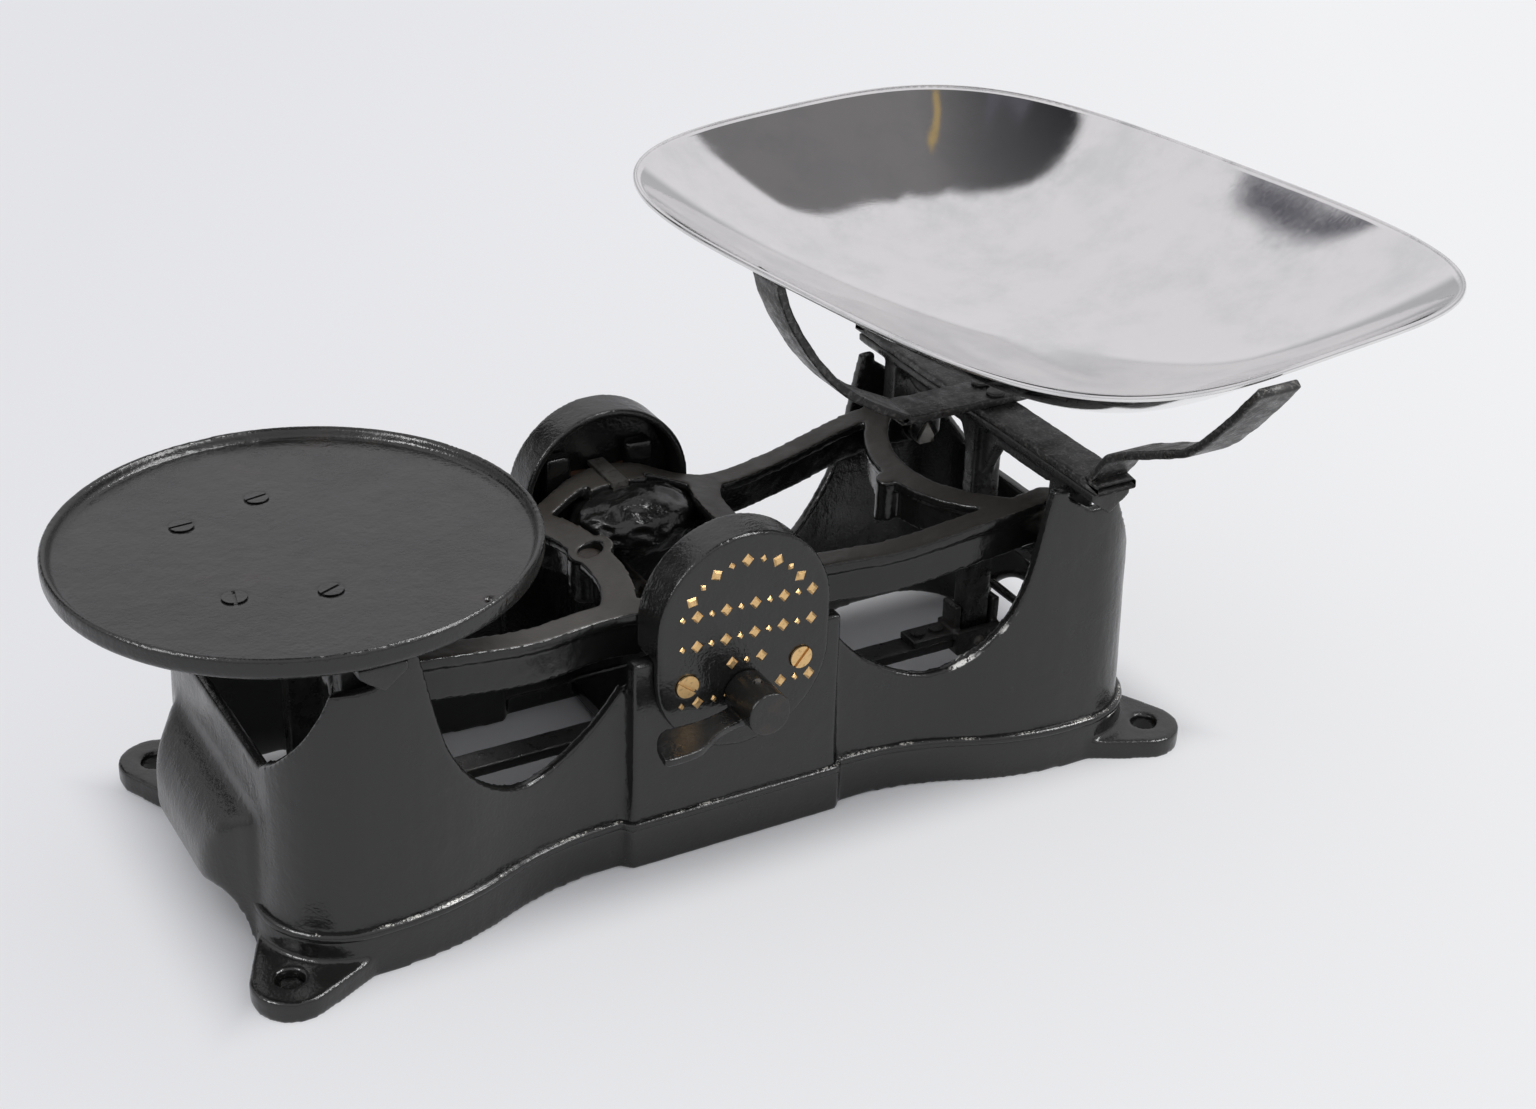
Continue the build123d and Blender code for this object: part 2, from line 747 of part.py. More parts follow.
def make_crossbar(side, top):
    x = side * arm_length
    low_edge = top - bar_thickness
    flange = block(x - bar_half_width, x + bar_half_width, -bar_half_length, bar_half_length, low_edge, top)
    keel_face = face_of([(x - bar_half_width, low_edge), (x + bar_half_width, low_edge), (x, top - keel_depth)])
    keel = along_y(keel_face, -bar_half_length, bar_half_length)
    web_low = top - web_bottom_depth
    web_face = face_of([
        (-web_half_length - 30, low_edge),
        (-web_half_length, web_low),
        (-leg_depth / 2 - 12, web_low),
        (-leg_depth / 2, web_low - 22),
        (leg_depth / 2, web_low - 22),
        (leg_depth / 2 + 12, web_low),
        (web_half_length, web_low),
        (web_half_length + 30, low_edge),
    ])
    web = along_x(web_face, x - bar_web / 2, x + bar_web / 2)
    leg = block(x - leg_width / 2, x + leg_width / 2, -leg_depth / 2, leg_depth / 2, leg_bottom, low_edge)
    lug_block = block(x - lug_half_width, x + lug_half_width, lug_inner, lug_outer, bearing_bottom, low_edge)
    seat_top = bearing_bottom + bearing_height + 2
    seat = block(x - bearing_half_width, x + bearing_half_width, lug_inner - 1, lug_outer + 1,
                 bearing_bottom - 1, seat_top)
    bar = flange + keel + web + leg + both_sides(lug_block - seat)
    pin_hole = rod_y(stay_pin_radius + loop_pin_gap, x, stay_height, -10, 10)
    return bar - pin_hole


def plate_screw_places():
    """Where the four screws go through the weight plate."""
    near = [(-arm_length, y) for y in (plate_screw_near, -plate_screw_near)]
    far = [(-arm_length - plate_screw_far_x, y) for y in (plate_screw_far_y, -plate_screw_far_y)]
    return near + far


def plate_screw_solids():
    """The plate's screws and their slots, flush with the plate's top."""
    screw, slot = slotted_screw(plate_screw_head, 0.4, cap_screw_shank, 8.0)
    turns = (12, 24, 4, 78)
    top = weight_bar_top + plate_thickness
    places = list(zip(plate_screw_places(), turns))
    bodies = [Pos(x, y, top) * screw for (x, y), _ in places]
    slots = [Pos(x, y, top) * Rot(Z=turn) * slot for (x, y), turn in places]
    return bodies, slots


def make_weight_crossbar():
    bar = make_crossbar(-1, weight_bar_top)
    low = weight_bar_top - bar_thickness - 2
    far = -arm_length - plate_screw_far_x
    for side in (-1, 1):
        y = side * plate_screw_far_y
        bar = bar + block(far, -arm_length, y - outrigger_width / 2, y + outrigger_width / 2,
                          low, weight_bar_top)
        bar = bar + rod_z(outrigger_width / 2, far, y, low, weight_bar_top)
    bodies, _ = plate_screw_solids()
    for body in bodies:
        bar = bar - body
    return bar


def make_weight_plate():
    bottom = weight_bar_top
    top = bottom + plate_thickness
    rim = bottom + plate_rim_height
    outer = plate_radius
    inner = outer - plate_lip
    arc = plate_round * (1 - 1 / sqrt(2))
    edges = [
        Line((0, bottom), (outer - plate_round, bottom)),
        ThreePointArc((outer - plate_round, bottom), (outer - arc, bottom + arc),
                      (outer, bottom + plate_round)),
        Line((outer, bottom + plate_round), (outer, rim - 1)),
        ThreePointArc((outer, rim - 1), (outer - plate_lip / 2, rim), (inner, rim - 1)),
        Line((inner, rim - 1), (inner - 1.2, top)),
        Line((inner - 1.2, top), (0, top)),
        Line((0, top), (0, bottom)),
    ]
    disc = Pos(plate_centre_x, 0, 0) * revolve(Plane.XZ * make_face(edges), Axis.Z)
    bodies, _ = plate_screw_solids()
    for body in bodies:
        disc = disc - body
    for angle in (178, -57):
        x = plate_centre_x + plate_hole_circle * cos(radians(angle))
        y = plate_hole_circle * sin(radians(angle))
        disc = disc - rod_z(plate_hole_radius, x, y, bottom - 1, rim)
    return disc


def make_weight_plate_screws():
    bodies, slots = plate_screw_solids()
    return Compound([(body - slot).solid() for body, slot in zip(bodies, slots)])


# Stay between the feet of the two legs

def make_stay():
    end = stay_end()
    top = stay_height + stay_thickness / 2
    low = stay_height - stay_thickness / 2
    bar = block(-end, end, -stay_width / 2, stay_width / 2, low, top)
    eye = rod_y(stay_eye_radius, 0, stay_height, -stay_width / 2, stay_width / 2)
    hole = rod_y(stay_pin_radius + running_gap, 0, stay_height, -20, 20)
    stay = bar + eye - hole
    for side in (-1, 1):
        for place in stay_rivet_places(side):
            stay = stay - rod_z(stay_rivet_radius, place, 0, 0, 60)
    return stay


def stirrup_inner():
    """Half the stirrup's window along the beam."""
    return leg_width / 2 + stirrup_gap_x


def stay_end():
    """Where the bar of the stay stops, against the stirrups."""
    return arm_length - stirrup_inner() - stirrup_wall


def stay_rivet_places(side):
    """Where two rivets join a stirrup to the stay."""
    return [side * (stay_end() - stirrup_tongue * share) for share in (0.3, 0.75)]


def make_stirrup(side):
    x = side * arm_length
    inner = stirrup_inner()
    outer = inner + stirrup_wall
    half = leg_depth / 2 + stirrup_gap_y
    wide = half + stirrup_wall
    body = block(x - outer, x + outer, -wide, wide, stirrup_bottom, stirrup_side_top)
    ears = block(x - outer, x + outer, -half, half, stirrup_side_top, stirrup_ear_top)
    window = block(x - inner, x + inner, -half, half, 0, 100)
    top = stay_height + stay_thickness / 2
    near = side * (stay_end() - stirrup_tongue)
    face = side * stay_end()
    tongue_block = block(min(near, face), max(near, face), -stay_width / 2, stay_width / 2,
                         top, top + stirrup_tongue_thickness)
    stirrup = body + ears - window + tongue_block - make_stay_pin(side)
    for place in stay_rivet_places(side):
        stirrup = stirrup - rod_z(stay_rivet_radius, place, 0, 0, 60)
    return stirrup


def make_stay_pin(side):
    reach = leg_depth / 2 + stirrup_gap_y + stirrup_wall
    return rod_y(stay_pin_radius, side * arm_length, stay_height, -reach, reach)


def make_stay_rivets():
    low = stay_height - stay_thickness / 2
    high = stay_height + stay_thickness / 2 + stirrup_tongue_thickness
    rivets = []
    for side in (-1, 1):
        for place in stay_rivet_places(side):
            shank = rod_z(stay_rivet_radius, place, 0, low, high)
            head = rod_z(stay_rivet_radius * 1.7, place, 0, high, high + 1.6)
            foot = rod_z(stay_rivet_radius * 1.7, place, 0, low - 1.6, low)
            rivets.append((shank + head + foot).solid())
    return Compound(rivets)


def make_stay_bracket():
    inner = stay_width / 2 + bracket_gap
    outer = inner + bracket_cheek
    foot_top = bridge_top + bracket_plate
    foot = block(-bracket_half_length, bracket_half_length, -bracket_half_width, bracket_half_width,
                 bridge_top, foot_top)
    cheek_face = make_face([
        Line((-9, foot_top), (9, foot_top)),
        Line((9, foot_top), (8, stay_height)),
        ThreePointArc((8, stay_height), (0, stay_height + 8), (-8, stay_height)),
        Line((-8, stay_height), (-9, foot_top)),
    ])
    cheek = along_y(cheek_face, inner, outer)
    bracket = foot + both_sides(cheek) - make_pivot_pin()
    return bracket - both_sides(rod_z(bracket_screw_radius, 0, bracket_screw_y, bridge_top - 1, foot_top + 1))


def make_pivot_pin():
    reach = stay_width / 2 + bracket_gap + bracket_cheek
    return rod_y(stay_pin_radius, 0, stay_height, -reach, reach)


def make_bracket_screws():
    top = bridge_top + bracket_plate
    screw = rod_z(bracket_screw_radius, 0, bracket_screw_y, bridge_bottom, top)
    head = rod_z(bracket_screw_head, 0, bracket_screw_y, top, top + 3.0)
    slot = block(-6, 6, bracket_screw_y - slot_width / 2, bracket_screw_y + slot_width / 2,
                 top + 3.0 - slot_depth, top + 4)
    one = (screw + head - slot).solid()
    return Compound([one, mirror(one, Plane.XZ)])


# Strap arms that carry the goods pan

def long_arm_points():
    """The top line of the strap that runs front to back, as (y, z); its back end stops sooner."""
    top = goods_bar_top + arm_strip
    tip_y = pan_half_length + 16.3
    tip_z = pan_rim_height - 4
    half = [(97, top), (108, top + 13.4), (tip_y - 59, tip_z - 55.7), (tip_y - 25, tip_z - 29.2), (tip_y, tip_z)]
    front = [(-y, z) for y, z in reversed(half)]
    back_tip = (tip_y - 7.5, tip_z - 8.8)
    return front + half[:-1] + [back_tip]


def cross_arm_tip():
    """Where the left tip of the strap along the beam holds the pan, as (x, z)."""
    reach = pan_half_width - 2.7
    turn = radians(pan_turn)
    inset = pan_half_width - reach * cos(turn) + cross_arm_width / 2 * sin(turn)
    return pan_centre_x - reach, pan_rim_height - pan_drop(inset) - arm_tip_gap


def cross_arm_points():
    """The top line of the strap that runs along the beam, as (x, z)."""
    top = goods_bar_top + 2 * arm_strip
    tip_x, tip_z = cross_arm_tip()
    left = [(tip_x, tip_z), (tip_x + 4.5, tip_z - 15), (tip_x + 30, tip_z - 47), (arm_length - 52, top)]
    right = [(2 * pan_centre_x - x, z) for x, z in reversed(left)]
    return left + right


def rivet_rods():
    """The two rivets through both straps and the goods crossbar."""
    return [rod_z(rivet_radius, arm_length, y, goods_bar_top - keel_depth, goods_bar_top + 2 * arm_strip)
            for y in (-rivet_spacing, rivet_spacing)]


def make_long_arm():
    points = list(reversed(long_arm_points()))
    line = FilletPolyline(*points, radius=[28, 22, 8, 8, 8, 8, 22, 28])
    face = make_face(offset(line, arm_strip, side=Side.LEFT, closed=True))
    half = long_arm_width / 2
    arm = along_x(face, arm_length - half, arm_length + half)
    for rod in rivet_rods():
        arm = arm - rod
    return arm


def make_cross_arm():
    points = list(reversed(cross_arm_points()))
    line = FilletPolyline(*points, radius=[22, 32, 30, 30, 32, 22])
    face = make_face(offset(line, arm_strip, side=Side.LEFT, closed=True))
    arm = along_y(face, -cross_arm_width / 2, cross_arm_width / 2)
    for rod in rivet_rods():
        arm = arm - rod
    return arm


def make_arm_rivets():
    top = goods_bar_top + 2 * arm_strip
    rivets = []
    for side, rod in zip((-1, 1), rivet_rods()):
        head = rod_z(rivet_head, arm_length, side * rivet_spacing, top, top + 1.8)
        rivets.append((rod + head).solid())
    return Compound(rivets)


def make_goods_crossbar():
    bar = make_crossbar(1, goods_bar_top)
    for rod in rivet_rods():
        bar = bar - rod
    return bar


# Goods pan

def pan_outline(inset, height):
    """The pan's four-sided oval, drawn inward by inset, as a closed wire at a height."""
    side_radius = pan_side_radius - inset
    end_radius = pan_end_radius - inset
    corner = max(pan_corner_radius - inset, 20)
    side_centre = Vector(pan_half_width - pan_side_radius, 0)
    end_centre = Vector(0, pan_half_length - pan_end_radius)
    to_side = side_radius - corner
    to_end = end_radius - corner
    between = end_centre - side_centre
    apart = between.length
    along = (to_side**2 - to_end**2 + apart**2) / (2 * apart)
    away = sqrt(to_side**2 - along**2)
    unit = between.normalized()
    normal = Vector(unit.Y, -unit.X)
    corner_centre = side_centre + unit * along + normal * away
    if corner_centre.X < 0:
        corner_centre = side_centre + unit * along - normal * away
    side_end = corner_centre + (corner_centre - side_centre).normalized() * corner
    end_end = corner_centre + (corner_centre - end_centre).normalized() * corner
    corner_mid = corner_centre + ((side_end - corner_centre).normalized()
                                  + (end_end - corner_centre).normalized()).normalized() * corner
    flip_x = lambda p: Vector(-p.X, p.Y)
    flip_y = lambda p: Vector(p.X, -p.Y)
    flip = lambda p: Vector(-p.X, -p.Y)
    wide = Vector(pan_half_width - inset, 0)
    deep = Vector(0, pan_half_length - inset)
    edges = [
        ThreePointArc(flip_y(side_end), wide, side_end),
        ThreePointArc(side_end, corner_mid, end_end),
        ThreePointArc(end_end, deep, flip_x(end_end)),
        ThreePointArc(flip_x(end_end), flip_x(corner_mid), flip_x(side_end)),
        ThreePointArc(flip_x(side_end), flip(wide), flip(side_end)),
        ThreePointArc(flip(side_end), flip(corner_mid), flip(end_end)),
        ThreePointArc(flip(end_end), flip(deep), flip_y(end_end)),
        ThreePointArc(flip_y(end_end), flip_y(corner_mid), flip_y(side_end)),
    ]
    wire = Wire([edge.edges()[0] for edge in edges])
    return Pos(0, 0, height) * wire


def pan_drop(inset):
    """How far the pan's underside has fallen below the rim at a distance inside it."""
    share = 1 - 2 * inset / (pan_half_width + pan_half_length)
    return pan_depth * (1 - share**pan_bowl_power)


def dish(inset, lift):
    """A closed solid under the pan's surface, drawn inward and lifted by a sheet's thickness."""
    reaches = [pan_floor_inset * share for share in (0, 0.06, 0.16, 0.31, 0.52, 0.78)]
    scale = (pan_depth - lift) / pan_depth
    levels = [(pan_drop(reach) * scale, reach) for reach in reaches]
    levels.append((pan_depth - lift, pan_floor_inset))
    return loft([Face(pan_outline(reach + inset, -drop)) for drop, reach in levels])


def place_pan(solid):
    """Turns the pan and sets it on its arms."""
    return Pos(pan_centre_x, pan_centre_y, pan_rim_height) * Rot(Z=pan_turn) * solid


def make_pan_wire():
    path = pan_outline(-pan_wire_radius + 0.2, 0)
    section = Plane(origin=path @ 0, z_dir=path % 0) * Circle(pan_wire_radius)
    return place_pan(sweep(section, path=path))


def make_pan():
    sheet = dish(0, 0) - Pos(0, 0, 0.01) * dish(pan_sheet * 1.25, pan_sheet)
    return place_pan(sheet) - make_pan_wire()


nodes = {
    "base_casting": make_base(),
    "back_cap": make_back_cap(),
    "front_cap": mirror(make_back_cap(), Plane.XZ),
    "back_cap_screws": make_back_cap_screws(),
    "front_cap_screws": mirror(make_back_cap_screws(), Plane.XZ),
    "back_bearing_block": make_back_bearing_block(),
    "front_bearing_block": mirror(make_back_bearing_block(), Plane.XZ),
    "lever_shaft": make_lever_shaft() - make_lever_pin(),
    "back_cam": make_back_cam(),
    "front_cam": mirror(make_back_cam(), Plane.XZ),
    "lever_handle": make_lever_handle(),
    "lever_pin": make_lever_pin(),
    "shaft_collar": make_shaft_collar(),
    "stay_bracket": make_stay_bracket(),
    "stay_bracket_screws": make_bracket_screws(),
    "stay_pivot_pin": make_pivot_pin(),
    "beam_casting": make_beam(),
    "balance_plug": plug_solid(knife_height - 3.4),
    "centre_knives": make_centre_knives(),
    "weight_end_knives": make_end_knives(-1),
    "goods_end_knives": make_end_knives(1),
    "weight_crossbar": make_weight_crossbar(),
    "weight_bearings": make_bearings(-1),
    "weight_plate": make_weight_plate(),
    "weight_plate_screws": make_weight_plate_screws(),
    "goods_crossbar": make_goods_crossbar(),
    "goods_bearings": make_bearings(1),
    "long_pan_arm": make_long_arm(),
    "cross_pan_arm": make_cross_arm(),
    "pan_arm_rivets": make_arm_rivets(),
    "stay_bar": make_stay(),
    "weight_stirrup": make_stirrup(-1),
    "goods_stirrup": make_stirrup(1),
    "weight_stay_pin": make_stay_pin(-1),
    "goods_stay_pin": make_stay_pin(1),
    "stay_rivets": make_stay_rivets(),
    "goods_pan": make_pan(),
    "pan_rim_wire": make_pan_wire(),
}

os.makedirs("parts", exist_ok=True)
for name, shape in nodes.items():
    export_step(shape, f"parts/{name}.step")
    box = shape.bounding_box()
    print(f"{name}: {box.min.X:.1f}..{box.max.X:.1f} {box.min.Y:.1f}..{box.max.Y:.1f} {box.min.Z:.1f}..{box.max.Z:.1f}")
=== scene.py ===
import json
import math

import bmesh
import bpy
import numpy as np
from mathutils import Matrix, Vector, noise

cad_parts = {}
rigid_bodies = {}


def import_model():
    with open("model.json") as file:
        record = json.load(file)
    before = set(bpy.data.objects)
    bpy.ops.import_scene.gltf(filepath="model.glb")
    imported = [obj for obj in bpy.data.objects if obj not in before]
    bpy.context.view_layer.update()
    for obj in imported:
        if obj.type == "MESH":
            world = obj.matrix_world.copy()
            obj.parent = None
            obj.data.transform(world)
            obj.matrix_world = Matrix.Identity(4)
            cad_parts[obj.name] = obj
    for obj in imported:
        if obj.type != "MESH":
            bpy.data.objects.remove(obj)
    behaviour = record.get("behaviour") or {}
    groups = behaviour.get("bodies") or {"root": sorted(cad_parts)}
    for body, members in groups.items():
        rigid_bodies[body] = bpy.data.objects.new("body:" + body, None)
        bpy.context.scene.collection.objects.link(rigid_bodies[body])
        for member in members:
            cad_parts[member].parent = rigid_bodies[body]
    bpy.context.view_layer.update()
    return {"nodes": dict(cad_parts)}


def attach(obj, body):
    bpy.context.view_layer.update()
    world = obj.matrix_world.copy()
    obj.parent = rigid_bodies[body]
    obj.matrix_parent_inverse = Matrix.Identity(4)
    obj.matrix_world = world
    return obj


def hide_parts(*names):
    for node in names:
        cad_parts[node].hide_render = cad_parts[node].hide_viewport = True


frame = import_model()
nodes = frame["nodes"]

MM = 0.001

# Camera, fitted to the photograph's frame
PHOTO_WIDTH = 1536
SENSOR_WIDTH = 36.0
FOCAL_PIXELS = 2475.2
CAMERA_AZIMUTH = math.radians(-30.49)
CAMERA_ELEVATION = math.radians(28.49)
CAMERA_ROLL = math.radians(2.03)
CAMERA_DISTANCE = 1.26987
CAMERA_TARGET = Vector((0.0606, 0.0, 0.10605))

# Studio: colours as linear light, places in metres
WORLD_LIGHT = (0.975, 0.98, 1.0)
WORLD_LEVEL = 0.8
SKY_LOW = (0.50, 0.50, 0.52)
SKY_HIGH = (0.81, 0.80, 0.825)
SKY_BAND = (0.24, 0.36)
FLOOR_HALF = 8.0
FLOOR_HEIGHT = -0.2 * MM
# The floor's colour runs from darker at the left to lighter at the right: a painted fall of light across
# it.
FLOOR_PAINTED_DIM_LEFT = (0.835, 0.838, 0.865)
FLOOR_PAINTED_LIT_RIGHT = (0.955, 0.958, 0.975)
FLOOR_PAINTED_FALLOFF_SPAN = (-0.5, 0.6)
FLOOR_GLOW = 0.66
# The floor's glow fades out under the base and close round it: a painted shadow there, on top of the base's
# rendered shadow.
FLOOR_SHADOW_FADE = (-0.005, 0.05)
SCALE_MIDDLE = (0.05, 0, 0.12)
LEFT_END = (-0.25, 0, 0.05)

# Cards of the studio, which only mirrors see
CEILING_HEIGHT = 1.5
CEILING_OUTLINE = [(1.32, 0.12), (1.25, 0.21), (1.27, 0.28), (1.24, 0.36), (1.20, 0.45), (1.12, 0.45),
                   (1.03, 0.410), (0.664, 0.460), (0.447, 0.617), (0.267, 0.794), (0.185, 0.834),
                   (0.127, 0.838), (0.064, 0.824), (0.013, 0.806), (-0.02, 0.721), (-0.3, 0.45),
                   (-0.5, 0.1), (-0.5, -0.55), (1.32, -0.55)]
CEILING_GLOW = (0.030, 0.030, 0.034)
CEILING_FAR_GLOW = (0.20, 0.195, 0.20)
CEILING_SPAN = 0.8
SMALL_CARD_HEIGHT = 0.6
SMALL_CARD_OUTLINE = [(0.257, 0.262), (0.262, 0.236), (0.269, 0.212), (0.288, 0.205), (0.301, 0.213),
                      (0.301, 0.225), (0.284, 0.229), (0.277, 0.240), (0.271, 0.258)]
SMALL_CARD_GLOW = (0.11, 0.11, 0.13)
TUBE_HEIGHT = 1.49
TUBE_OUTLINE = [(0.608, 0.096), (0.604, 0.158), (0.650, 0.222), (0.728, 0.256), (0.750, 0.208),
                (0.686, 0.182), (0.653, 0.145), (0.655, 0.096)]
TUBE_GLOW = (0.40, 0.30, 0.15)
BACK_CARD_PLACE = (-0.765, 1.30)
BACK_CARD_TURN = math.radians(-159)
BACK_CARD_OUTLINE = [(-0.36, 0.50), (0.36, 0.50), (0.36, 1.35), (-0.36, 1.35)]
BACK_CARD_GLOW = (0.03, 0.03, 0.03)
PAN_CARD_PLACE = (0.625, 0.536)
PAN_CARD_TURN = math.radians(150)
PAN_CARD_OUTLINE = [(0.300, 0), (0.300, 0.120), (0.247, 0.125), (0.179, 0.160), (0.129, 0.200),
                    (0.075, 0.270), (0.047, 0.300), (0.004, 0.315), (-0.012, 0.385), (-0.046, 0.335),
                    (-0.090, 0.240), (-0.150, 0.110), (-0.190, 0)]
PAN_CARD_GLOW = (0.46, 0.455, 0.47)

# Goods pan: a four-sided oval dish whose corners and long sides lie a little lower
PAN_CENTRE = Vector((0.2074, -0.0036, 0.2670))
PAN_HALF_WIDTH = 154.1 * MM
PAN_HALF_LENGTH = 202.2 * MM
PAN_SQUARENESS = 3.61
PAN_TURN = 0.153
PAN_CORNER_RISE = -2.0 * MM
PAN_SIDE_RISE = -2.1 * MM
PAN_DEPTH = 66.0 * MM
PAN_BOWL_POWER = 1.9
PAN_SHEET = 1.1 * MM
PAN_RINGS = 60
PAN_RING_POWER = 0.9
PAN_TURNS = 240
PAN_DENTS = (14, 0.13 * MM)
PAN_FINE_DENTS = (33, 0.03 * MM)
PAN_DENT_SHIFT = (7, 3, 1)
PAN_SMOOTH_EDGE = 1 / 6

# Rolled rim: it is thinner where the sheet closes under it and where it runs into the dish
RIM_RADIUS = 1.7 * MM
RIM_DROP = 1.3 * MM
RIM_OUT = 0.5 * MM
RIM_HOLLOWS = [(200, 250, 0.86), (95, 165, 0.80)]
RIM_TURNS = 480
RIM_SIDES = 20

# Base outline, with its rounded bead on the skirt's ledge, in millimetres
PANEL_HALF_WIDTH = 58.0
PANEL_DEPTH = 82.0
PANEL_STEP = 4.0
WAIST_START = 66.0
WAIST_DEPTH = 77.0
SHOULDER_START = 190.0
SHOULDER_DEPTH = 103.0
CORNER_START = 198.0
CORNER_RADIUS = 41.0
OUTLINE_STEPS = 16
BEAD_RADIUS = 2.6
BEAD_INSET = 2.0
BEAD_HEIGHT = 23.3
BEAD_STEP = 2.5
BEAD_SIDES = 14
# The bead's upper outer side, in degrees of its turn, is marked worn: worn paint and a painted highlight
# line along its crest.
BEAD_WORN_AND_HIGHLIGHT_TURNS = (40, 100)
BEAD_WEAR_AND_HIGHLIGHT = 0.5
BEAD_RIPPLE = (0.06, 0.10)
BEAD_FINE_RIPPLE = (0.30, 0.05)
FILLED_LUG_HOLE = (-238.0, -99.0)

# Straps under the pan, in millimetres: their lower lines, read off the photograph's near edges
STRAP_THICKNESS = 4.5
STRAP_CORNER = 1.1
STRAP_STEP = 2.2
STRAP_WEAR = 0.35
STRAP_DENTS = (0.12, 0.45)
STRAP_FINE_DENTS = (0.35, 0.20)
CROSS_ARM_WIDTH = 25.0
CROSS_ARM_LEFT = [(53.1, 259.4), (57.1, 246.3), (62.5, 235.0), (70.1, 222.2), (78.8, 210.0),
                  (91.9, 195.8), (105.0, 185.8), (120.0, 177.2), (133.0, 171.2), (143.0, 169.2)]
CROSS_ARM_RIGHT_TIP = (54.0, 256.5)
CROSS_ARM_MIRROR = 207.2
LONG_ARM_X = 190.5
LONG_ARM_WIDTH = 23.0
LONG_ARM_NEAR = [(218.9, 262.6), (209.1, 249.7), (198.6, 237.0), (192.1, 229.5), (184.2, 221.4),
                 (176.0, 214.4), (168.6, 210.2), (145.1, 199.0), (122.0, 187.6), (116.2, 182.3),
                 (110.5, 174.5), (104.0, 167.0), (98.0, 164.7)]
LONG_ARM_FAR_TIP = (211.4, 252.8)

# Castings, in millimetres: how the remeshed solids are rounded, roughened and clotted with paint
BASE_VOXEL = 1.3
EDGE_GAIN = 1.1
SURFACE_LUMPS = (1.0, 1.0)
SURFACE_FINE_LUMPS = (2.7, 0.5)
HOOD_BOXES = [((-262, -75, 26), (-222, 75, 86)), ((222, -75, 26), (262, 75, 86))]
HOOD_FADE = 8.0 * MM
HOOD_ROUNDS = 70
SOFT_LEVELS = 8
CLOT_SWELL = (2.2, 0.10)
CLOT_FINE_SWELL = (5.0, 0.05)
BOSS_LUMP_RADII = (34, 26, 17)
BOSS_LUMP_PLACE = (4, 42, 120)
LUG_PAINT_RADII = (6.9, 6.9, 3.2)
LUG_PAINT_HEIGHT = 4.5

# Gilt pattern on the front cap's face, in millimetres
ORNAMENT_FACE = -84.8
ORNAMENT_RELIEF = 1.0
ORNAMENT_SINK = 0.2
ORNAMENT_TOP_SHARE = 0.55
ARC_COUNT = 9
ARC_STEP = 14
ARC_RADIUS = 35
ARC_HEIGHT = 124
ARC_SIZES = (3.5, 1.8)
ROW_SIZES = (3.4, 1.7)
LOZENGE_EXTRA_HEIGHT = 0.4
ROW_PITCH = 8
ROWS = [(-34, 36, 135), (-34, 36, 119), (-7, 9, 105), (-34, -8, 88), (12, 36, 88)]

# CAD nodes that keep their own shape
EDGE_BEVEL = 0.3 * MM
SCREW_RISE = 0.2 * MM

# Paints as linear colours, and the white chips round the right scoop
BLACK = (0.0065, 0.0065, 0.0062)
# The pale grey of worn enamel edges: bare iron, pale enough to stand also for painted highlight lines on
# thin edges.
BARE_IRON_AND_HIGHLIGHT = (0.40, 0.39, 0.36)
OLD_RUST = (0.045, 0.026, 0.014)
CHIP_WHITE = (0.82, 0.81, 0.78)
CHIPS = [((0.128, -0.086, 0.067), 9 * MM), ((0.138, -0.087, 0.070), 6 * MM),
         ((0.151, -0.090, 0.084), 7 * MM), ((0.157, -0.090, 0.093), 6 * MM),
         ((0.218, -0.096, 0.018), 9 * MM)]


# Meshes and objects

def add_object(name, data):
    piece = bpy.data.objects.new(name, data)
    bpy.context.scene.collection.objects.link(piece)
    return piece


def new_mesh(name, vertices, faces):
    mesh = bpy.data.meshes.new(name)
    mesh.from_pydata(vertices, [], faces)
    return mesh


def shade_smooth(mesh):
    mesh.polygons.foreach_set("use_smooth", [True] * len(mesh.polygons))


def mark_edges(mesh, shares):
    """Stores how far each vertex lies on an edge, where the paints wear away."""
    attribute = mesh.attributes.new("edge", "FLOAT", "POINT")
    attribute.data.foreach_set("value", shares)


def ripple(spot, scale, height, shift=(0, 0, 0)):
    """Smooth noise at a place. The sizes above hold its scale and height as pairs."""
    return height * noise.noise(spot * scale + Vector(shift))


def compass(azimuth, elevation):
    """The way to a compass direction, with 0 in front of the scale and 90 at its right."""
    flat = math.cos(elevation)
    return Vector((math.sin(azimuth) * flat, -math.cos(azimuth) * flat, math.sin(elevation)))


# Shader nodes

